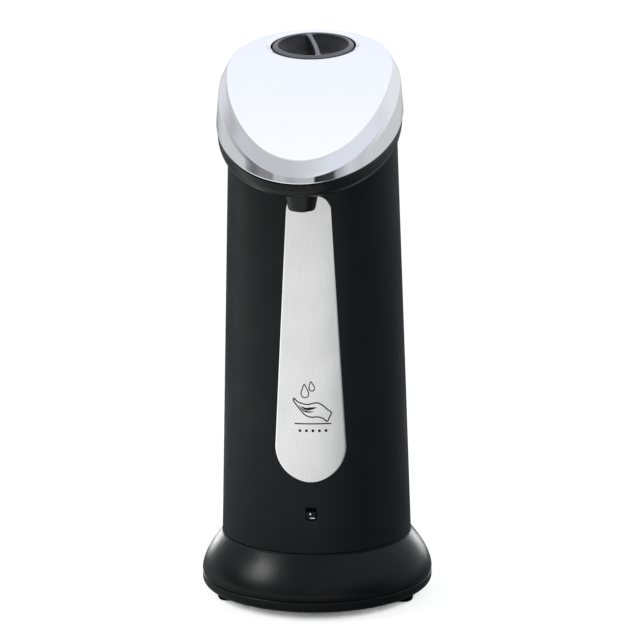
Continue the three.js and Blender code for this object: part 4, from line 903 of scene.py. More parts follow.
class DISPENSER_OT_base(DispenserPiece, bpy.types.Operator):
    """Flared bell of the base and the base plate with its lip and openings"""

    bl_idname = "dispenser.base"
    bl_label = "Base"

    def execute(self, context):
        made = finishes()["base"]
        skirt = self.bell(context.scene.dispenser_sizes)
        finished("base_bell", skirt, [made], MAIN_BODY, "black_case", "base_skirt")
        plate = self.plate(context.scene.dispenser_sizes)
        finished("base_floor", plate, [made], MAIN_BODY, "black_case", "base_plate")
        return {"FINISHED"}

    def bell(self, sizes):
        """The flared skirt with its collar inside the sleeve, its screw posts and their ribs."""
        widest = sizes.base_radius / MM
        neck = sizes.foot_radius / MM
        wall = sizes.wall / MM
        seam = SEAM_HEIGHT / MM
        bottom = 7.5
        lap = 0.2
        seam_gap = 0.15
        collar_outer = neck - 2.4
        collar_inner = neck - 4.2
        collar_top = seam + 5.5
        ledge = seam - 2.3
        curve = bent(
            Vector((widest, bottom + 1.1)), Vector((widest - 0.4, bottom + 6.3)),
            Vector((neck + lap, seam - 0.8)), 24,
        )
        skirt = turned(flat(
            (widest - wall, bottom, 0), (widest - 0.35, bottom, 0.15),
            *((spot.x, spot.y, 0) for spot in curve),
            (neck + lap, seam - seam_gap, 0.2), (collar_outer + 0.1, seam - seam_gap, 0),
            (collar_outer, collar_top, 0.3), (collar_inner, collar_top, 0.3),
            (collar_inner, ledge, 0), (neck - 1.8, ledge, 0), (widest - 4.4, 16, 0),
            (widest - wall, 12, 0),
        ), loop=True)
        post_foot, post_top = 5.35, 16.5
        rib_half, rib_reach = 0.8 * MM, sizes.base_radius - 1.2 * MM
        rib_bottom, rib_top = 7.6 * MM, 11 * MM
        for screw in screw_places():
            post = turned(
                flat((0, post_foot, 0), (3.1, post_foot, 0.2), (2.9, post_top, 0.4),
                     (0, post_top, 0)),
                place=Matrix.Translation((screw.x, screw.y, 0)), segments=SMALL_SEGMENTS,
            )
            away = Vector((screw.x, screw.y - AXIS_Y, 0))
            rib = rounded_box(
                (away.length, -rib_half, rib_bottom), (rib_reach, rib_half, rib_top), 0.2 * MM,
            )
            turn = Matrix.Rotation(math.atan2(away.y, away.x), 4, "Z")
            rib.transform(Matrix.Translation((0, AXIS_Y, 0)) @ turn)
            skirt = combine(skirt, ("UNION", post), ("UNION", rib))
        return skirt

    def plate(self, sizes):
        """The base plate, with the openings of the door, the knob and the screws cut through."""
        widest = sizes.base_radius / MM
        bottom = BASE_LOW.z / MM
        top = 5.3
        lip_top = 7.4
        lip_inner = widest - 2.4
        curve = bent(
            Vector((widest - 3.1, bottom)), Vector((widest, bottom)), Vector((widest, 5.7)), 14,
        )
        plate = turned(flat(
            (0, bottom, 0), (widest - 4.2, bottom, 0), *((spot.x, spot.y, 0) for spot in curve),
            (widest, lip_top, 0.45), (lip_inner, lip_top, 0.3), (lip_inner, top, 0.3),
            (0, top, 0),
        ))
        gap = 0.4 * MM
        through = 8 * MM
        knob_travel = 3 * MM
        low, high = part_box("battery_door")
        tools = [rounded_box(
            (low.x - gap, low.y - 2 * gap, 0), (high.x + gap, high.y + gap, through), 0.6 * MM,
        )]
        low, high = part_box("switch_knob")
        tools.append(rounded_box(
            (low.x - gap, low.y - gap, 0),
            (high.x + knob_travel + gap, high.y + gap, through), 0.5 * MM,
        ))
        hole_radius = 1.35 * MM
        for screw in screw_places():
            tools.append(lathe(
                [(0, 0), (hole_radius, 0), (hole_radius, through), (0, through)],
                place=Matrix.Translation((screw.x, screw.y, 0)), segments=SMALL_SEGMENTS,
            ))
        return combine(plate, *(("DIFFERENCE", tool) for tool in tools))


# One base screw and one foot stand at each of these places
CORNERS = [f"{end}_{side}" for side in ("left", "right") for end in ("front", "rear")]


def screw_places():
    """Middle of each base screw, at the underside of the base plate."""
    places = []
    for corner in CORNERS:
        low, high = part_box(f"base_screw_{corner}")
        places.append(Vector(((low.x + high.x) / 2, (low.y + high.y) / 2, BASE_LOW.z)))
    return places


class DISPENSER_OT_fasteners(DispenserPiece, bpy.types.Operator):
    """Four base screws with a cross recess, and four rubber feet"""

    bl_idname = "dispenser.fasteners"
    bl_label = "Base screws and feet"

    def execute(self, context):
        made = finishes()
        finished(
            "base_screws", self.screws(made["steel"]), [made["steel"]], MAIN_BODY, "steel",
            *(f"base_screw_{corner}" for corner in CORNERS),
        )
        names = [f"foot_{corner}" for corner in CORNERS]
        feet = merged(*(self.foot(*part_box(name)) for name in names))
        finished("rubber_feet", feet, [made["rubber"]], MAIN_BODY, "rubber", *names)
        return {"FINISHED"}

    def screws(self, finish):
        """A conical head, a shank and two crossed slots on each screw's place, head down."""
        head_height = 1.2 * MM
        values = {
            "Head Radius": 2.1 * MM,
            "Face Radius": 1.45 * MM,
            "Head Height": head_height,
            "Shank Radius": 1.1 * MM,
            "Shank Length": 6.9 * MM,
            "Shank Place": (0.0, 0.0, -3.35 * MM),
            "Recess": (2.6 * MM, 0.55 * MM, 1.4 * MM),
            "Recess Place": (0.0, 0.0, head_height),
            "Facing": (math.pi, 0.0, 0.4),
        }
        tree, given = plan("Cross-head screws", values, geometry=True)
        head = add(
            tree, "GeometryNodeMeshCone", {"fill_type": "NGON"},
            {"Vertices": 28, "Side Segments": 3, "Radius Top": (given, "Face Radius"),
             "Radius Bottom": (given, "Head Radius"), "Depth": (given, "Head Height")},
        )
        shank = add(
            tree, "GeometryNodeMeshCylinder", {"fill_type": "NGON"},
            {"Vertices": 20, "Radius": (given, "Shank Radius"),
             "Depth": (given, "Shank Length")},
        )
        lowered = add(
            tree, "GeometryNodeTransform", None,
            {"Geometry": (shank, "Mesh"), "Translation": (given, "Shank Place")},
        )
        whole = add(
            tree, "GeometryNodeMeshBoolean", {"operation": "UNION", "solver": "EXACT"},
            {"Mesh 2": [(head, "Mesh"), (lowered, "Geometry")]},
        )
        bar = add(tree, "GeometryNodeMeshCube", None, {"Size": (given, "Recess")})
        arms = [
            add(
                tree, "GeometryNodeTransform", None,
                {"Geometry": (bar, "Mesh"), "Rotation": (0.0, 0.0, turn),
                 "Translation": (given, "Recess Place")},
            ) for turn in (0.0, math.pi / 2)
        ]
        cut = add(
            tree, "GeometryNodeMeshBoolean", {"operation": "DIFFERENCE", "solver": "EXACT"},
            {"Mesh 1": (whole, "Mesh"), "Mesh 2": [(arm, "Geometry") for arm in arms]},
        )
        placed = add(
            tree, "GeometryNodeInstanceOnPoints", None,
            {"Points": (given, "Points"), "Instance": (cut, "Mesh"),
             "Rotation": (given, "Facing")},
        )
        close(tree, given, placed, "Instances")
        return grown(tree, values, finish, screw_places())

    def foot(self, low, high):
        """A round pad with a soft edge and a sunk middle under it."""
        radius, height = 3.2, 3.25
        hollow_radius, hollow_height = 1.6, 0.35
        edge_rise = 0.9
        return turned(
            flat(
                (0, hollow_height, 0), (hollow_radius, hollow_height, 0.3),
                (hollow_radius + 0.4, 0, 0.3), (radius - 0.5, 0, 0.5), (radius, edge_rise, 0.5),
                (radius, height, 0.1), (0, height, 0),
            ),
            place=Matrix.Translation(((low.x + high.x) / 2, (low.y + high.y) / 2, 0)),
            segments=MIDDLE_SEGMENTS, steps=COARSE_STEPS,
        )


def ribs(name, finish, count, pitch, radius, span, start):
    """A row of rounded ribs along X, one behind the other in Y."""
    values = {
        "Count": count, "Pitch": (0.0, pitch, 0.0), "Radius": radius, "Span": span,
        "Start": tuple(start),
    }
    tree, given = plan(name, values)
    line = add(
        tree, "GeometryNodeMeshLine", {"mode": "OFFSET"},
        {"Count": (given, "Count"), "Start Location": (given, "Start"),
         "Offset": (given, "Pitch")},
    )
    rib = add(
        tree, "GeometryNodeMeshCylinder", {"fill_type": "NGON"},
        {"Vertices": 16, "Radius": (given, "Radius"), "Depth": (given, "Span")},
    )
    placed = add(
        tree, "GeometryNodeInstanceOnPoints", None,
        {"Points": (line, "Mesh"), "Instance": (rib, "Mesh"),
         "Rotation": (0.0, math.pi / 2, 0.0)},
    )
    close(tree, given, placed, "Instances")
    return grown(tree, values, finish)


def soften(work, reach, finish=0, choose=None):
    """Bevels the sharp edges of a mesh."""
    edges = [
        edge for edge in work.edges
        if edge.calc_face_angle(0) > BEVEL_ANGLE and (choose is None or choose(edge))
    ]
    bmesh.ops.bevel(
        work, geom=edges, offset=reach, segments=2, profile=0.6, affect="EDGES",
        material=finish,
    )


class DISPENSER_OT_door(DispenserPiece, bpy.types.Operator):
    """Battery door with its hinge barrel and grip ribs, and the power switch knob"""

    bl_idname = "dispenser.door"
    bl_label = "Battery door and switch knob"

    def execute(self, context):
        made = finishes()
        door = self.door(made["body"])
        finished("battery_door_shell", door, [made["body"]], "door", "black_case", "battery_door")
        finished(
            "power_switch_knob", self.knob(made["acetal"]), [made["acetal"]], "switch",
            "white_plastic", "switch_knob",
        )
        return {"FINISHED"}

    def door(self, finish):
        """A slab with its hinge barrel along the rear edge and grip ribs near the front one."""
        low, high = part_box("battery_door")
        barrel_radius = 0.8 * MM
        slab = rounded_box(low, (high.x, high.y - barrel_radius, high.z), 0.8 * MM)
        soften(slab, 0.25 * MM)
        hinge = Matrix.Translation((0, high.y - barrel_radius, (low.z + high.z) / 2))
        barrel = lathe(
            [(0, low.x), (barrel_radius, low.x), (barrel_radius, high.x), (0, high.x)],
            place=hinge @ Matrix.Rotation(math.pi / 2, 4, "Y"), segments=SMALL_SEGMENTS,
        )
        grip = ribs(
            "Grip ribs", finish, count=6, pitch=1.5 * MM, radius=0.35 * MM, span=15 * MM,
            start=(0.0, low.y + 3.5 * MM, low.z + 0.12 * MM),
        )
        return combine(slab, ("UNION", barrel), ("UNION", grip))

    def knob(self, finish):
        """A small block with three grooves across its underside."""
        low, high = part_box("switch_knob")
        knob = rounded_box(low, high, 0.35 * MM)
        soften(knob, 0.2 * MM)
        middle = Vector(((low.x + high.x) / 2, (low.y + high.y) / 2, 0))
        pitch = 0.8 * MM
        grooves = ribs(
            "Knob grooves", finish, count=3, pitch=pitch, radius=0.2 * MM, span=6 * MM,
            start=(0.0, middle.y - pitch, low.z),
        )
        turn = Matrix.Translation(middle) @ Matrix.Rotation(math.pi / 2, 4, "Z")
        grooves.transform(turn @ Matrix.Translation((0, -middle.y, 0)))
        return combine(knob, ("DIFFERENCE", grooves))


class DISPENSER_OT_cells(DispenserPiece, bpy.types.Operator):
    """Four cells and the contact strips with their coil springs"""

    bl_idname = "dispenser.cells"
    bl_label = "Cells and contacts"

    def execute(self, context):
        made = finishes()
        names = [f"battery_{number}" for number in range(1, 5)]
        # Every other cell stands with its foot to the rear
        boxes = [(*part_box(name), number % 2 == 1) for number, name in enumerate(names)]
        cells = merged(*(self.cell(low, high, rear) for low, high, rear in boxes))
        finished("battery_cells", cells, [made["wrap"], made["spring"]], MAIN_BODY, "cell", *names)

        values = {
            "Wire Radius": 0.28 * MM, "Bottom Radius": 3.3 * MM, "Top Radius": 1.7 * MM,
            "Height": 1.5 * MM, "Turns": 3.0, "Facing": (0.0, 0.0, 0.0),
        }
        tree = self.spring(values)
        strip_thick = 0.5 * MM
        spring_lift = 0.7 * MM
        for end, sign in (("front", -1), ("rear", 1)):
            low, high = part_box(f"battery_contact_{end}")
            face_y = low.y if sign < 0 else high.y
            inner_y = face_y - sign * strip_thick
            strip = rounded_box(
                (low.x, min(face_y, inner_y), low.z), (high.x, max(face_y, inner_y), high.z),
                0.1 * MM,
            )
            spots = [
                Vector((
                    (low.x + high.x) / 2, face_y - sign * spring_lift, (low.z + high.z) / 2,
                ))
                for low, high, rear in boxes if rear == (sign > 0)
            ]
            values["Facing"] = (sign * math.pi / 2, 0.0, 0.0)
            springs = grown(tree, values, made["spring"], spots)
            finished(
                f"contact_strip_{end}", merged(strip, springs), [made["spring"]], MAIN_BODY,
                "steel", f"battery_contact_{end}",
            )
        return {"FINISHED"}

    def cell(self, low, high, rear):
        """One cell along Y: bare metal at the foot and the button, the wrap between them."""
        span = (high.y - low.y) / MM
        wide = (high.x - low.x) / 2 / MM
        foot = 0.5
        shoulder = span - 1.2
        button_foot = span - 1.0
        button = 1.9
        middle = Vector(((low.x + high.x) / 2, high.y if rear else low.y, (low.z + high.z) / 2))
        turn = Matrix.Rotation(math.pi / 2 if rear else -math.pi / 2, 4, "X")
        cell = turned(
            flat(
                (0, 0, 0), (wide - 1, 0, 0.3), (wide - 0.9, foot, 0.2), (wide, foot, 0.4),
                (wide, shoulder, 0.5), (wide - 1.6, shoulder, 0.3),
                (wide - 1.9, button_foot, 0.1), (button, button_foot, 0.2), (button, span, 0.35),
                (0, span, 0),
            ),
            place=Matrix.Translation(middle) @ turn, segments=MIDDLE_SEGMENTS,
            steps=COARSE_STEPS,
        )
        wrap_from, wrap_to = 0.3, span - 1.4
        for face in cell.faces:
            along = abs(face.calc_center_median().y - middle.y) / MM
            face.material_index = 0 if wrap_from < along < wrap_to else 1
        return cell

    def spring(self, values):
        """The tree of the contact springs: a coil of wire, narrower upwards, on each point."""
        tree, given = plan("Contact springs", values, geometry=True)
        coil = add(
            tree, "GeometryNodeCurveSpiral", None,
            {"Resolution": 24, "Rotations": (given, "Turns"),
             "Start Radius": (given, "Bottom Radius"), "End Radius": (given, "Top Radius"),
             "Height": (given, "Height")},
        )
        wire = add(
            tree, "GeometryNodeCurvePrimitiveCircle", {"mode": "RADIUS"},
            {"Resolution": 8, "Radius": (given, "Wire Radius")},
        )
        spring = add(
            tree, "GeometryNodeCurveToMesh", None,
            {"Curve": (coil, "Curve"), "Profile Curve": (wire, "Curve"), "Fill Caps": True},
        )
        placed = add(
            tree, "GeometryNodeInstanceOnPoints", None,
            {"Points": (given, "Points"), "Instance": (spring, "Mesh"),
             "Rotation": (given, "Facing")},
        )
        close(tree, given, placed, "Instances")
        return tree


class DISPENSER_OT_plate(DispenserPiece, bpy.types.Operator):
    """Brushed front plate with its polished rim, following the sleeve"""

    bl_idname = "dispenser.plate"
    bl_label = "Front plate"

    def execute(self, context):
        sizes = context.scene.dispenser_sizes
        work = self.sheet(self.half_widths(sizes))
        bmesh.ops.recalc_face_normals(work, faces=work.faces[:])
        soften(
            work, sizes.plate_rim, finish=1,
            choose=lambda edge: all(vert.co.y > PLATE_THICKNESS - 0.1 * MM for vert in edge.verts),
        )
        bmesh.ops.triangulate(work, faces=[face for face in work.faces if len(face.verts) > 4])
        for vert in work.verts:
            vert.co = on_sleeve(vert.co.x, vert.co.z, PLATE_LIFT + vert.co.y)
        bmesh.ops.recalc_face_normals(work, faces=work.faces[:])
        made = finishes()
        finished(
            "brushed_front_plate", work, [made["plate"], made["edge"]], MAIN_BODY,
            "brushed_plate", "front_plate",
        )
        return {"FINISHED"}

    def half_widths(self, sizes):
        """(Half width, height) from the round foot along the sides to the rounded top."""
        bottom = PLATE_LOW.z
        top = PLATE_HIGH.z
        radius = sizes.plate_bottom_radius
        half = sizes.plate_top_half
        corner = 5.2 * MM
        foot_steps, side_steps, top_steps = 24, 40, 8
        rows = [(0.0, bottom)]
        for step in range(1, foot_steps + 1):
            angle = math.pi / 2 * step / foot_steps
            rows.append((radius * math.sin(angle), bottom + radius * (1 - math.cos(angle))))
        straight = top - corner - (bottom + radius)
        for step in range(1, side_steps + 1):
            share = step / side_steps
            rows.append((radius + (half - radius) * share, bottom + radius + straight * share))
        for step in range(1, top_steps + 1):
            share = step / top_steps
            rows.append((half - corner * share ** 2, top - corner * (1 - share) ** 2))
        return rows

    def sheet(self, rows):
        """The sheet still flat, its faces square to Y; the lowest row is a single point."""
        columns_across = 28
        work = bmesh.new()
        sides = []
        for depth in (0.0, PLATE_THICKNESS):
            grid = []
            for width, height in rows:
                if width == 0:
                    grid.append([work.verts.new((0.0, depth, height))] * (columns_across + 1))
                    continue
                grid.append([
                    work.verts.new((width * (2 * step / columns_across - 1), depth, height))
                    for step in range(columns_across + 1)
                ])
            sides.append(grid)
        for grid in sides:
            for lower, upper in zip(grid, grid[1:]):
                for step in range(columns_across):
                    around = [lower[step], lower[step + 1], upper[step + 1], upper[step]]
                    work.faces.new(list(dict.fromkeys(around)))
        back, front = sides
        for row in range(len(rows) - 1):
            for step in (0, columns_across):
                around = [
                    back[row][step], back[row + 1][step], front[row + 1][step],
                    front[row][step],
                ]
                work.faces.new(list(dict.fromkeys(around)))
        for step in range(columns_across):
            work.faces.new([
                back[-1][step], back[-1][step + 1], front[-1][step + 1], front[-1][step],
            ])
        return work


def smooth_line(points, closed, steps=6):
    """A Catmull-Rom line through a few points."""
    count = len(points)
    spots = [Vector(point) for point in points]
    line = []
    for place in range(count if closed else count - 1):
        around = [place + shift for shift in (-1, 0, 1, 2)]
        around = [
            number % count if closed else min(max(number, 0), count - 1) for number in around
        ]
        a, b, c, d = (spots[number] for number in around)
        for step in range(steps):
            t = step / steps
            line.append(
                0.5 * ((2 * b) + (c - a) * t + (2 * a - 5 * b + 4 * c - d) * t ** 2
                       + (3 * b - a - 3 * c + d) * t ** 3)
            )
    if not closed:
        line.append(spots[-1])
    return line


def ribbon(line, width, closed, levels):
    """A closed stroke along a line on the plate, in mm; its width is a number or a function."""
    count = len(line)
    sides = ([], [])
    for place, spot in enumerate(line):
        before = line[place - 1] if closed or place else spot
        after = line[(place + 1) % count] if closed or place + 1 < count else spot
        along = (after - before).normalized()
        wide = width(place / (count - 1)) if callable(width) else width
        offset = Vector((-along.y, along.x)) * wide / 2
        sides[0].append(spot + offset)
        sides[1].append(spot - offset)
    points = []
    for level in levels:
        for side in sides:
            points += [on_sleeve(spot.x * MM, spot.y * MM, level) for spot in side]
    faces = []
    for place in range(count if closed else count - 1):
        after = (place + 1) % count
        for one, two in ((0, 1), (1, 3), (3, 2), (2, 0)):
            faces.append((
                one * count + place, one * count + after, two * count + after,
                two * count + place,
            ))
    if not closed:
        for place in (0, count - 1):
            faces.append((place, count + place, 3 * count + place, 2 * count + place))
    return solid(points, faces)


class DISPENSER_OT_print(DispenserPiece, bpy.types.Operator):
    """Print on the plate: an open hand, two drops, a line and a row of plain dots"""

    bl_idname = "dispenser.print"
    bl_label = "Plate print"

    def execute(self, context):
        """Draws in mm across the plate and over the standing face."""
        stroke = context.scene.dispenser_sizes.stroke / MM
        face = PLATE_LIFT + PLATE_THICKNESS
        levels = (face - 0.04 * MM, face + 0.03 * MM)
        drops = [
            [(-1.9, 81.9), (-2.5, 80.5), (-3.0, 79.0), (-2.7, 77.8), (-1.6, 77.3),
             (-0.6, 77.9), (-0.5, 79.0), (-1.1, 80.5)],
            [(0.3, 82.8), (-0.1, 81.8), (-0.3, 80.8), (0.0, 79.9), (0.7, 79.6),
             (1.4, 80.0), (1.5, 80.9), (1.0, 81.9)],
        ]
        parts = [ribbon(smooth_line(drop, True), stroke * 0.85, True, levels) for drop in drops]
        hand = [
            (-5.4, 77.0), (-4.2, 75.9), (-2.4, 75.2), (-0.6, 75.0), (0.9, 75.4), (2.6, 75.5),
            (4.3, 74.6), (5.8, 73.2), (7.1, 72.1), (6.5, 70.5), (5.7, 69.1), (4.2, 70.2),
            (2.4, 70.7), (0.4, 70.6), (-1.6, 71.3), (-3.2, 73.0), (-4.7, 74.9), (-5.6, 76.2),
        ]
        parts.append(ribbon(smooth_line(hand, True), stroke, True, levels))
        # Two tapered strokes along the fingers, each with its greatest width
        marks = [
            ([(-2.9, 74.2), (-1.3, 73.4), (0.4, 73.6), (2.2, 73.9)], 0.8),
            ([(-3.8, 74.7), (-2.2, 72.9), (-0.4, 72.4), (1.2, 72.6)], 0.35),
        ]
        for mark, wide in marks:
            width = lambda share, wide=wide: 0.15 + wide * math.sin(math.pi * share)
            parts.append(ribbon(smooth_line(mark, False), width, False, levels))
        rule_left, rule_length, rule_height, rule_steps = -5.3, 12.4, 68.3, 16
        rule = [
            Vector((rule_left + rule_length * step / rule_steps, rule_height))
            for step in range(rule_steps + 1)
        ]
        parts.append(ribbon(rule, stroke, False, levels))
        dots, dot_left, dot_pitch, dot_height, dot_radius, dot_steps = 5, -3.5, 2.2, 65.9, 0.5, 16
        for number in range(dots):
            middle = Vector((dot_left + dot_pitch * number, dot_height))
            circle = []
            for step in range(dot_steps):
                angle = math.tau * step / dot_steps
                circle.append(middle + dot_radius * Vector((math.cos(angle), math.sin(angle))))
            rings = [
                [on_sleeve(spot.x * MM, spot.y * MM, level) for spot in circle]
                for level in levels
            ]
            parts.append(skin(rings, caps=True))
        finished(
            "plate_print", merged(*parts), [finishes()["ink"]], MAIN_BODY, "black_gloss",
        )
        return {"FINISHED"}


class DISPENSER_OT_sensor(DispenserPiece, bpy.types.Operator):
    """Dark infrared window: a glossy lens below a stepped-back niche"""

    bl_idname = "dispenser.sensor"
    bl_label = "Sensor window"

    def execute(self, context):
        low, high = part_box("sensor_window")
        centre = Vector((0, low.y, (low.z + high.z) / 2))
        niche_half, niche_deep = 3 * MM, 2.4 * MM
        niche = rounded_box(
            (-niche_half, centre.y - 1 * MM, centre.z + 0.2 * MM),
            (niche_half, centre.y + niche_deep, high.z + 2 * MM), 0.1 * MM,
        )
        flange = rounded_box(
            (low.x, high.y - 1.1 * MM, low.z), (high.x, high.y, high.z), 0.1 * MM,
        )
        work = combine(self.lens(centre), ("DIFFERENCE", niche), ("UNION", flange))
        made = finishes()
        finished("infrared_window", work, [made["lens"]], MAIN_BODY, "lens", "sensor_window")
        # The polished beads in the window are painted glints
        finished("window_rims", self.rims(centre), [made["edge"]], MAIN_BODY, "steel")
        return {"FINISHED"}

    def lens(self, centre):
        """An upright rounded block whose front edge is drawn in, in steps of (inset, depth)."""
        half_width, half_height = 1.75, 2.75
        outline = [
            (Vector((x * half_width * MM, z * half_height * MM)), 1.1 * MM)
            for x, z in ((-1, -1), (1, -1), (1, 1), (-1, 1))
        ]
        shape = eased(outline, steps=6)
        rings = []
        for inset, depth in ((0.35, 0.0), (0.12, 0.06), (0.0, 0.3), (0.0, 3.3)):
            scale_x = 1 - inset / half_width
            scale_z = 1 - inset / half_height
            rings.append([
                centre + Vector((spot.x * scale_x, depth * MM, spot.y * scale_z))
                for spot in shape
            ])
        return skin(rings, caps=True)

    def rims(self, centre):
        """Two small polished beads in the window that stand in for glints: a painted highlight dot
        and line.
        """
        rims = []
        for spot, size in (
            ((-0.25, 0.05, -0.6), (0.32, 0.15, 0.42)), ((0.4, 0.12, -2.05), (1.15, 0.2, 0.28)),
        ):
            # Each bead is a painted highlight, not a part of the window
            rim = bmesh.new()
            bmesh.ops.create_uvsphere(rim, u_segments=24, v_segments=12, radius=MM)
            where = Matrix.Translation(centre + Vector(spot) * MM)
            rim.transform(where @ Matrix.Diagonal((*size, 1.0)))
            rims.append(rim)
        return merged(*rims)


class DISPENSER_OT_cover(DispenserPiece, bpy.types.Operator):
    """Chrome-plated head cover: side band, bevel, arched face and the opening for the cap"""

    bl_idname = "dispenser.cover"
    bl_label = "Head cover"

    def execute(self, context):
        radius = context.scene.dispenser_sizes.opening_radius
        wall = 2.7 * MM
        collar_wall = 1.0 * MM
        collar_low = -5 * MM
        lip_half = radius - 0.7 * MM
        lip_high, lip_low, lip_foot = -0.8 * MM, -2.2 * MM, -2.8 * MM
        tongue_outer, tongue_inner, tongue_low = 2.5 * MM, 3.7 * MM, -1.8 * MM
        small = 0.2 * MM
        face = head_ring(*FACE_INSET, face_height)
        edge = opening_ring(face, radius + 1.1 * MM)
        inner_edge = opening_ring(face, radius + collar_wall, collar_low)
        collar_top = opening_ring(face, radius + collar_wall)
        for spot in collar_top:
            spot.z = face_height(spot.y - AXIS_Y) - wall
        under = self.underside(wall, radius + 1.2 * MM)
        rings = [
            (split_ring(0.0, 0.0), 0.3 * MM),
            (head_ring(0.8 * MM, 0.8 * MM, 0.4 * MM, ridge_height), 0.8 * MM),
            (face, 1.1 * MM),
        ]
        rings += [(between(face, edge, share / 10, 0.0), 0.0) for share in range(1, 10)]
        rings += [
            (edge, small),
            (opening_ring(face, lip_half, lip_high), 0.25 * MM),
            (opening_ring(face, lip_half, lip_low), small),
            (opening_ring(face, radius, lip_foot), small),
            (opening_ring(face, radius, collar_low), small),
            (inner_edge, small),
            (collar_top, 0.0),
            (between(collar_top, under, 0.35, wall), 0.0),
            (between(collar_top, under, 0.7, wall), 0.0),
            (under, 0.0),
            (split_ring(wall, 1.6 * MM), 0.0),
            (split_ring(tongue_inner, 0.9 * MM), 0.0),
            (split_ring(tongue_inner, tongue_low), small),
            (split_ring(tongue_outer, tongue_low), small),
            (split_ring(tongue_outer, 0.0), 0.0),
        ]
        work = skin(columns(rings), loop=True)
        finished(
            "chrome_head_cover", work, [finishes()["chrome"]], MAIN_BODY, "chrome_cover",
            "head_cover",
        )
        return {"FINISHED"}

    def underside(self, wall, least):
        """The inner oval of the face, kept at least so far from the middle of the opening."""
        side, rear, front = FACE_INSET
        under = head_ring(
            side + wall / 2, rear + wall, front + wall,
            lambda setback: face_height(setback) - wall,
        )
        for spot in under:
            away = Vector((spot.x, spot.y - OPENING_CENTRE.y))
            if away.length < least:
                away = away.normalized() * least
                spot.x = away.x
                spot.y = away.y + OPENING_CENTRE.y
                spot.z = face_height(away.y + OPENING_SETBACK) - wall
        return under


def chin_height(rise):
    """Gives the height of the lower shell's underside, raised by a given amount."""
    return lambda setback: split_height(setback) - CHIN_DROP + rise


def axis_ring(around, radius, height_at):
    """A circle round the body axis, one point towards each point of an oval."""
    ring = []
    for spot in around:
        angle = math.atan2(spot.y - AXIS_Y, spot.x)
        setback = radius * math.sin(angle)
        ring.append(Vector((radius * math.cos(angle), setback + AXIS_Y, height_at(setback))))
    return ring


def part_way(starts, ends, share):
    """A ring part of the way between two rings."""
    return [start.lerp(end, share) for start, end in zip(starts, ends)]


class DISPENSER_OT_chin(DispenserPiece, bpy.types.Operator):
    """Black lower shell of the head with its collar and nozzle boss, and the nozzle tip"""

    bl_idname = "dispenser.chin"
    bl_label = "Lower head shell and nozzle"

    def execute(self, context):
        made = finishes()
        low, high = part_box("nozzle_tip")
        place = Matrix.Translation((0, (low.y + high.y) / 2, 0))
        wall = 1.8 * MM
        floor = 147.4
        top = chin_height(wall)(low.y - AXIS_Y) / MM - 0.8
        boss_radius = 5.3
        boss = turned(
            flat(
                (0, floor, 0), (2.6, floor, 0.3), (4.3, floor, 1.8),
                (boss_radius, floor + 5.5, 2.5), (boss_radius, top, 0), (0, top, 0),
            ),
            place=place, segments=BOSS_SEGMENTS, steps=8,
        )
        # The bore runs through the boss and the underside into the head
        bore_radius, bore_low, bore_high = 2.5 * MM, 140 * MM, 170 * MM
        bore = lathe(
            [(0, bore_low), (bore_radius, bore_low), (bore_radius, bore_high), (0, bore_high)],
            place=place, segments=BORE_SEGMENTS,
        )
        shell = combine(self.shell(wall), ("UNION", boss), ("DIFFERENCE", bore))
        finished(
            "lower_head_shell", shell, [made["gloss"]], MAIN_BODY, "black_case",
            "head_lower_shell",
        )
        tip = self.tip(low.z / MM, high.z / MM, place)
        finished("soft_nozzle_tip", tip, [made["silicone"]], MAIN_BODY, "silicone", "nozzle_tip")
        return {"FINISHED"}

    def shell(self, wall):
        """Band, rounded chin, underside and the collar that goes down into the sleeve."""
        inset = 0.4 * MM
        side, front = inset + 0.5 * MM, inset + 3 * MM
        chin = head_ring(side, inset, front, chin_height(0.0))
        inside = head_ring(side + wall, inset + wall, front + wall, chin_height(wall))
        radius = sleeve_radius(SPLIT[1]) - 2.3 * MM
        inner = radius - 1.2 * MM
        bottom = chin_height(0.0)(-sleeve_radius(BEND_HEIGHT)) - 7 * MM
        collar = axis_ring(chin, radius, chin_height(0.0))
        bore = axis_ring(chin, inner, chin_height(wall))
        rings = [
            (split_ring(inset, -0.3 * MM), 0.45 * MM),
            (split_ring(inset, -3.6 * MM), 1.0 * MM),
            (chin, 0.9 * MM),
            (part_way(chin, collar, 0.3), 0.0),
            (part_way(chin, collar, 0.65), 0.0),
            (collar, 0.0),
            (axis_ring(chin, radius, lambda setback: bottom), 0.3 * MM),
            (axis_ring(chin, inner, lambda setback: bottom), 0.3 * MM),
            (bore, 0.0),
            (part_way(bore, inside, 0.35), 0.0),
            (part_way(bore, inside, 0.7), 0.0),
            (inside, 0.6 * MM),
            (split_ring(inset + wall, -0.3 * MM), 0.2 * MM),
        ]
        return skin(columns(rings), loop=True)

    def tip(self, low, high, place):
        """The nozzle: a round tip with a thinner neck at its top, open along its axis."""
        hole, neck, radius = 0.8, 1.35, 2.4
        return turned(
            flat(
                (hole, low, 0.2), (1.7, low, 0.3), (radius, low + 0.9, 0.5),
                (radius, high - 2.2, 0.2), (neck, high - 2.1, 0.1), (neck, high, 0.2),
                (hole, high, 0.1),
            ),
            loop=True, place=place, segments=MIDDLE_SEGMENTS, steps=COARSE_STEPS,
        )


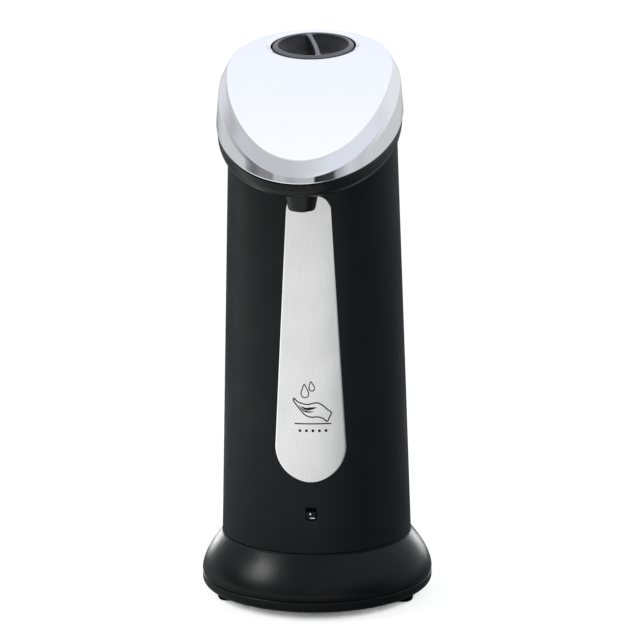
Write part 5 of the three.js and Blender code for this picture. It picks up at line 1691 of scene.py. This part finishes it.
class DISPENSER_OT_cap(DispenserPiece, bpy.types.Operator):
    """Filler cap with its dish and grip bar, its plug and its seal"""

    bl_idname = "dispenser.cap"
    bl_label = "Filler cap"

    def execute(self, context):
        made = finishes()
        place = opening_frame()
        wide = context.scene.dispenser_sizes.cap_radius / MM
        cap = self.top(wide, wide - 2.1, place)
        finished(
            "filler_cap_top", cap, [made["cap"], made["grip"]], "cap_top", "black_gloss",
            "filler_cap",
        )
        outer, groove, inner = 11.9, 10.9, 10.3
        plug = turned(
            flat(
                (0, -9.6, 0), (outer, -9.6, 0.5), (outer, -7.5, 0.1), (groove, -7.5, 0.1),
                (groove, -5.7, 0.1), (outer, -5.7, 0.1), (outer, -3.6, 0.3),
                (inner, -3.6, 0.2), (inner, -8.0, 0.2), (0, -8.0, 0),
            ),
            place=place, segments=PLUG_SEGMENTS, steps=COARSE_STEPS,
        )
        finished("cap_plug_body", plug, [made["gloss"]], "cap_stem", "black_gloss", "cap_plug")
        seal_inner, seal_outer, seal_low, seal_high = 11.0, 12.4, -7.4, -5.8
        seal = turned(
            flat(
                (seal_inner, seal_low, 0.2), (seal_outer, seal_low, 0.5),
                (seal_outer, seal_high, 0.5), (seal_inner, seal_high, 0.2),
            ),
            loop=True, place=place, segments=PLUG_SEGMENTS,
        )
        finished("cap_seal_ring", seal, [made["silicone"]], "cap_stem", "silicone", "cap_seal")
        return {"FINISHED"}

    def top(self, wide, dish, place):
        """The ring, its sunk dish and the grip bar; the tops of rim and bar get the grey finish, a
        painted highlight.
        """
        under, ring_low, dish_low = -7.1, -3.3, -5.7
        neck = 9.9
        cap = turned(
            flat(
                (0, under, 0), (neck, under, 0.3), (neck, ring_low, 0), (wide, ring_low, 0.3),
                (wide, -1.0, 0.6), (dish + 0.3, -0.1, 0.4), (dish - 0.5, -1.4, 0.5),
                (dish * 0.55, dish_low, 2.2), (0, dish_low, 0),
            ),
            place=place, segments=CAP_SEGMENTS,
        )
        bar = self.bar(dish + 0.5)
        turn = Matrix.Rotation(BAR_TURN, 4, "Z")
        bar.transform(place @ turn)
        cap = combine(cap, ("UNION", bar))
        rim_low = -0.8 * MM
        bar_reach, bar_low, bar_high = 2.4 * MM, -0.9 * MM, -0.1 * MM
        upright, straight = place.inverted(), turn.inverted()
        # Faces on top of the rim and the bar take the grey finish: a painted highlight
        for face in cap.faces:
            spot = upright @ face.calc_center_median()
            on_rim = math.hypot(spot.x, spot.y) > dish * MM and spot.z > rim_low
            on_bar = abs((straight @ spot).x) < bar_reach and bar_low < spot.z < bar_high
            face.material_index = 1 if on_rim or on_bar else 0
        return cap

    def bar(self, reach):
        """A slightly bowed bar, wider at its ends, with a rounded top; lengths are in mm."""
        half_width, flare, bow = 0.82, 0.9, 0.55
        steps = 12
        nearest = 0.01
        half = []
        for step in range(steps + 1):
            share = step / steps
            half.append((half_width + flare * share ** 9, share * reach))
        outline = []
        for across, along in ((1, 1), (-1, 1), (-1, -1), (1, -1)):
            for width, distance in half if across * along > 0 else reversed(half):
                middle = bow * (1 - (distance / reach) ** 2)
                spot = Vector((across * width + middle, along * distance))
                if not outline or (spot - outline[-1]).length > nearest:
                    outline.append(spot)
        if (outline[0] - outline[-1]).length < nearest:
            outline.pop()
        rings = []
        for inset, level in ((0.0, -6.3), (0.0, -0.85), (0.12, -0.5), (0.4, -0.32)):
            narrow = 1 - inset / half_width
            ring = []
            for spot in outline:
                middle = bow * (1 - (spot.y / reach) ** 2)
                across = middle + (spot.x - middle) * narrow
                ring.append(Vector((across * MM, spot.y * MM, level * MM)))
            rings.append(ring)
        return skin(rings, caps=True)


INNER_FINISHES = {
    "body": ("battery_tray", "switch_case", "drive_deck"),
    "lens": ("receiver_led", "emitter_led"),
    "board": ("sensor_board", "control_board"),
    "gloss": ("control_chip",),
    "steel": (
        "motor_can", "motor_screw_1", "motor_screw_2", "pump_screw_1", "pump_screw_2",
        "pump_screw_3", "pump_screw_4", "pump_idler_pin",
    ),
    "acetal": (
        "gear_bracket", "drive_gear", "pump_housing", "pump_cover", "pump_drive_rotor",
        "pump_idler_rotor", "sensor_ribbon",
    ),
    "brass": ("motor_pinion",),
    "frosted": ("soap_tank", "tank_lid"),
    "silicone": ("suction_tube", "tank_gasket", "delivery_hose"),
    "red": ("battery_lead_red", "motor_lead_red"),
    "black": ("battery_lead_black", "motor_lead_black"),
}


class DISPENSER_OT_inside(DispenserPiece, bpy.types.Operator):
    """Finishes of the drive, pump, tank, boards and leads inside the shells"""

    bl_idname = "dispenser.inside"
    bl_label = "Inner finishes"

    def execute(self, context):
        made = finishes()
        for key, names in INNER_FINISHES.items():
            for name in names:
                mesh = frame["nodes"][name].data
                mesh.materials.clear()
                mesh.materials.append(made[key])
        return {"FINISHED"}


# What the head mirrors: walls by azimuth in degrees from the front, the side of the ceiling by x
# and the softbox over the head by y
WALLS = (
    (-180, 0.75), (-150, 0.72), (-142, 0.66), (-132, 0.5), (-112, 0.38), (-100, 0.17),
    (-92, 0.18), (-86, 0.24), (-64, 0.24), (-58, 0.5), (-42, 0.48), (-25, 0.38), (-8, 0.46),
    (27, 0.5), (31, 0.02), (66, 0.05), (72, 0.32), (84, 0.5), (92, 0.62), (110, 0.55),
    (125, 0.7), (140, 0.8), (180, 0.78),
)
WALL_BLUE = 1.04
CEILING = (
    (-1.0, (0.6, 0.62, 0.66)), (-0.7, (0.54, 0.55, 0.57)), (-0.25, (0.54, 0.56, 0.58)),
    (0.15, (0.64, 0.66, 0.69)), (0.45, (0.74, 0.76, 0.83)), (1.0, (0.74, 0.77, 0.84)),
)
SOFTBOX = (
    (-1.0, (0.6, 0.62, 0.66)), (0.1, (0.8, 0.82, 0.86)), (0.35, (1.06, 1.06, 1.06)),
    (0.55, (0.99, 1.01, 1.04)), (0.82, (0.93, 0.96, 1.05)), (1.0, (0.9, 0.92, 1.0)),
)
# Where the ceiling begins over the walls, and the softbox's edge by x and by y
CEILING_EDGE = (0.28, 0.45)
SOFTBOX_SIDE = (0.5, 0.3)
SOFTBOX_FRONT = (0.0, 0.3)
WHITE = (1.0, 1.0, 1.0, 1.0)

# Lamps: name, azimuth and elevation in degrees, distance and size in metres, power in watts
LAMPS = (
    ("front left softbox", -65, 35, 1.0, 0.34, 3.9),
    ("rear left strip", -146, 2, 0.25, 0.06, 0.08),
    ("rear right strip", 148, 2, 0.25, 0.06, 0.05),
)
LAMP_AIM_HEIGHT = 20 * MM

# The floor: its own grey, how far its shadow reaches, how open a spot is where the shadow ends,
# the glow seen by the camera, and the glow seen in mirrored rays
FLOOR_HALF = 6.0
FLOOR_GREY = (0.25, 0.25, 0.25, 1.0)
SHADOW_REACH = 12 * MM
SHADOW_OPEN = (0.06, 0.2)
FLOOR_GLOW = 0.86
FAR_GLOW = 0.42
FAR_REACH = (1.1, 1.5)
FRONT_WAY = (0.8, 1.0, 0.0)
FRONT_REACH = (0.02, -0.2)

# The camera that fits the photograph, its angles in degrees and its aim over the body axis
CAMERA_ELEVATION = 12.5
CAMERA_AZIMUTH = 3.3
CAMERA_ROLL = -0.6
CAMERA_DISTANCE = 0.936
CAMERA_AIM_HEIGHT = 98 * MM
CAMERA_LENS = 151.76
CAMERA_SENSOR = 36
CAMERA_SHIFT = (0.0084, -0.0045)


def direction(azimuth, elevation):
    """Unit vector towards a place round the object, from angles off the front and the floor."""
    return Vector((
        math.sin(azimuth) * math.cos(elevation), -math.cos(azimuth) * math.cos(elevation),
        math.sin(elevation),
    ))


class DISPENSER_OT_stage(DispenserPiece, bpy.types.Operator):
    """White floor, soft studio surroundings, lamps and the camera"""

    bl_idname = "dispenser.stage"
    bl_label = "Stage"

    def execute(self, context):
        scene = context.scene
        scene.view_settings.view_transform = "Standard"
        self.floor(scene)
        self.surroundings(scene)
        self.lamps(scene)
        self.camera(scene)
        return {"FINISHED"}

    def floor(self, scene):
        """White paper for the camera, fading to a soft contact shadow under the base."""
        work = bmesh.new()
        bmesh.ops.create_grid(work, x_segments=1, y_segments=1, size=FLOOR_HALF)
        mesh = as_mesh(work, "floor")
        floor = bpy.data.objects.new("floor", mesh)
        scene.collection.objects.link(floor)
        finish, tree, shader = surface(
            "white paper sweep",
            {"Base Color": FLOOR_GREY, "Roughness": 0.9, "Specular IOR Level": 0.0},
        )
        # The camera sees white paper, darker only where the base stands over it
        path = add(tree, "ShaderNodeLightPath")
        open_sky = add(
            tree, "ShaderNodeAmbientOcclusion", {"samples": 16}, {"Distance": SHADOW_REACH},
        )
        lit = add(
            tree, "ShaderNodeMapRange", {"interpolation_type": "SMOOTHSTEP"},
            {"Value": (open_sky, "AO"), "From Min": SHADOW_OPEN[0], "From Max": SHADOW_OPEN[1]},
        )
        white = add(
            tree, "ShaderNodeMath", {"operation": "MULTIPLY"},
            {0: (lit, "Result"), 1: FLOOR_GLOW},
        )
        # Mirrored rays see it bright at the front and left, dark behind the object, dim far away
        place = add(tree, "ShaderNodeTexCoord")
        away = add(
            tree, "ShaderNodeVectorMath", {"operation": "LENGTH"},
            {"Vector": (place, "Object")},
        )
        far = add(
            tree, "ShaderNodeMapRange", {"interpolation_type": "SMOOTHSTEP"},
            {"Value": (away, "Value"), "From Min": FAR_REACH[0], "From Max": FAR_REACH[1]},
        )
        side = add(
            tree, "ShaderNodeVectorMath", {"operation": "DOT_PRODUCT"},
            {0: (place, "Object"), 1: FRONT_WAY},
        )
        ahead = add(
            tree, "ShaderNodeMapRange", {"interpolation_type": "SMOOTHSTEP"},
            {"Value": (side, "Value"), "From Min": FRONT_REACH[0], "From Max": FRONT_REACH[1]},
        )
        dimmed = add(
            tree, "ShaderNodeMix", None,
            {0: (far, "Result"), 2: (ahead, "Result"), 3: FAR_GLOW},
        )
        mirrored = add(
            tree, "ShaderNodeMath", {"operation": "MAXIMUM"},
            {0: (path, "Is Glossy Ray"), 1: (path, "Is Transmission Ray")},
        )
        other = add(
            tree, "ShaderNodeMath", {"operation": "MULTIPLY"},
            {0: (mirrored, 0), 1: (dimmed, 0)},
        )
        strength = add(
            tree, "ShaderNodeMath", {"operation": "MULTIPLY_ADD"},
            {0: (path, "Is Camera Ray"), 1: (white, 0), 2: (other, 0)},
        )
        glow = add(
            tree, "ShaderNodeEmission", None, {"Color": WHITE, "Strength": (strength, 0)},
        )
        both = add(
            tree, "ShaderNodeAddShader", None, {0: (shader, "BSDF"), 1: (glow, "Emission")},
        )
        output = next(node for node in tree.nodes if node.type == "OUTPUT_MATERIAL")
        tree.links.new(both.outputs[0], output.inputs["Surface"])
        mesh.materials.append(finish)

    def surroundings(self, scene):
        """Plain white for the camera; walls, ceiling and softbox for everything else."""
        world = bpy.data.worlds.new("studio")
        world.use_nodes = True
        scene.world = world
        tree = world.node_tree
        tree.nodes.clear()
        place = add(tree, "ShaderNodeTexCoord")
        split = add(tree, "ShaderNodeSeparateXYZ", None, {"Vector": (place, "Generated")})
        # Azimuth from the front, growing to the right, as a share of the whole turn
        forward = add(
            tree, "ShaderNodeMath", {"operation": "MULTIPLY"}, {0: (split, "Y"), 1: -1.0},
        )
        azimuth = add(
            tree, "ShaderNodeMath", {"operation": "ARCTAN2"},
            {0: (split, "X"), 1: (forward, 0)},
        )
        ramps = []
        for source, limit, levels in (
            ((azimuth, 0), math.pi, [
                (angle / 180, (level, level, level * WALL_BLUE)) for angle, level in WALLS
            ]),
            ((split, "X"), 1.0, CEILING),
            ((split, "Y"), 1.0, SOFTBOX),
        ):
            spread = add(
                tree, "ShaderNodeMapRange", None,
                {"Value": source, "From Min": -limit, "From Max": limit},
            )
            ramp = add(tree, "ShaderNodeValToRGB", None, {"Fac": (spread, "Result")})
            stops = ramp.color_ramp.elements
            for stop, (place, colour) in zip(stops, (levels[0], levels[-1])):
                stop.position = (place + 1) / 2
                stop.color = (*colour, 1.0)
            for place, colour in levels[1:-1]:
                stops.new((place + 1) / 2).color = (*colour, 1.0)
            ramps.append(ramp)
        walls, sides, depths = ramps
        off = add(tree, "ShaderNodeMath", {"operation": "ABSOLUTE"}, {0: (split, "X")})
        edges = [
            add(
                tree, "ShaderNodeMapRange", {"interpolation_type": "SMOOTHSTEP"},
                {"Value": source, "From Min": limits[0], "From Max": limits[1]},
            )
            for source, limits in (
                ((off, 0), SOFTBOX_SIDE), ((split, "Y"), SOFTBOX_FRONT),
                ((split, "Z"), CEILING_EDGE),
            )
        ]
        over = add(
            tree, "ShaderNodeMath", {"operation": "MULTIPLY"},
            {0: (edges[0], "Result"), 1: (edges[1], "Result")},
        )
        ceiling = add(
            tree, "ShaderNodeMix", {"data_type": "RGBA"},
            {0: (over, 0), 6: (sides, "Color"), 7: (depths, "Color")},
        )
        last = add(
            tree, "ShaderNodeMix", {"data_type": "RGBA"},
            {0: (edges[2], "Result"), 6: (walls, "Color"), 7: (ceiling, 2)},
        )
        light = add(
            tree, "ShaderNodeBackground", None, {"Color": (last, 2), "Strength": 1.0},
        )
        plain = add(
            tree, "ShaderNodeBackground", None, {"Color": WHITE, "Strength": 1.0},
        )
        path = add(tree, "ShaderNodeLightPath")
        shown = add(
            tree, "ShaderNodeMixShader", None,
            {0: (path, "Is Camera Ray"), 1: (light, "Background"), 2: (plain, "Background")},
        )
        add(tree, "ShaderNodeOutputWorld", None, {"Surface": (shown, "Shader")})

    def lamps(self, scene):
        """Lamps for the highlights of the base; light linking keeps them off the chrome."""
        lit = bpy.data.collections.new("lit by the lamps")
        for name in ("base_bell", "base_floor", "floor"):
            lit.objects.link(bpy.data.objects[name])
        for name, azimuth, elevation, distance, size, power in LAMPS:
            data = bpy.data.lights.new(name, "AREA")
            data.shape = "SQUARE"
            data.size = size
            data.energy = power
            lamp = bpy.data.objects.new(name, data)
            scene.collection.objects.link(lamp)
            lamp.visible_camera = False
            lamp.light_linking.receiver_collection = lit
            away = direction(math.radians(azimuth), math.radians(elevation))
            lamp.location = Vector((0, AXIS_Y, LAMP_AIM_HEIGHT)) + away * distance
            lamp.rotation_euler = away.to_track_quat("Z", "Y").to_euler()

    def camera(self, scene):
        """Looks back along its direction, rolled a little."""
        azimuth = math.radians(CAMERA_AZIMUTH)
        roll = math.radians(CAMERA_ROLL)
        back = direction(azimuth, math.radians(CAMERA_ELEVATION))
        right = Vector((math.cos(azimuth), math.sin(azimuth), 0))
        up = back.cross(right)
        data = bpy.data.cameras.new("camera")
        data.lens = CAMERA_LENS
        data.sensor_width = CAMERA_SENSOR
        data.shift_x, data.shift_y = CAMERA_SHIFT
        camera = bpy.data.objects.new("camera", data)
        scene.collection.objects.link(camera)
        place = Matrix.Identity(3)
        place.col[0] = right * math.cos(roll) + up * math.sin(roll)
        place.col[1] = up * math.cos(roll) - right * math.sin(roll)
        place.col[2] = back
        spot = Vector((0, AXIS_Y, CAMERA_AIM_HEIGHT)) + back * CAMERA_DISTANCE
        camera.matrix_world = Matrix.Translation(spot) @ place.to_4x4()
        scene.camera = camera


OPERATORS = (
    DISPENSER_OT_sleeve,
    DISPENSER_OT_base,
    DISPENSER_OT_fasteners,
    DISPENSER_OT_door,
    DISPENSER_OT_cells,
    DISPENSER_OT_plate,
    DISPENSER_OT_print,
    DISPENSER_OT_sensor,
    DISPENSER_OT_cover,
    DISPENSER_OT_chin,
    DISPENSER_OT_cap,
    DISPENSER_OT_inside,
    DISPENSER_OT_stage,
)


class DISPENSER_PT_pieces(bpy.types.Panel):
    """Lists the pieces of the dispenser with their sizes and colours"""

    bl_label = "Soap dispenser"
    bl_idname = "DISPENSER_PT_pieces"
    bl_space_type = "VIEW_3D"
    bl_region_type = "UI"
    bl_category = "Dispenser"

    def draw(self, context):
        for operator in OPERATORS:
            self.layout.operator(operator.bl_idname)
        for group in (context.scene.dispenser_sizes, context.scene.dispenser_colours):
            box = self.layout.box()
            for name in group.__annotations__:
                box.prop(group, name)


CLASSES = (DispenserSizes, DispenserColours, *OPERATORS, DISPENSER_PT_pieces)


def register():
    for item in CLASSES:
        bpy.utils.register_class(item)
    bpy.types.Scene.dispenser_sizes = bpy.props.PointerProperty(type=DispenserSizes)
    bpy.types.Scene.dispenser_colours = bpy.props.PointerProperty(type=DispenserColours)


def unregister():
    del bpy.types.Scene.dispenser_colours
    del bpy.types.Scene.dispenser_sizes
    for item in reversed(CLASSES):
        bpy.utils.unregister_class(item)


def main():
    """Makes every piece in order."""
    register()
    for operator in OPERATORS:
        group, name = operator.bl_idname.split(".")
        getattr(getattr(bpy.ops, group), name)()


if __name__ == "__main__":
    main()
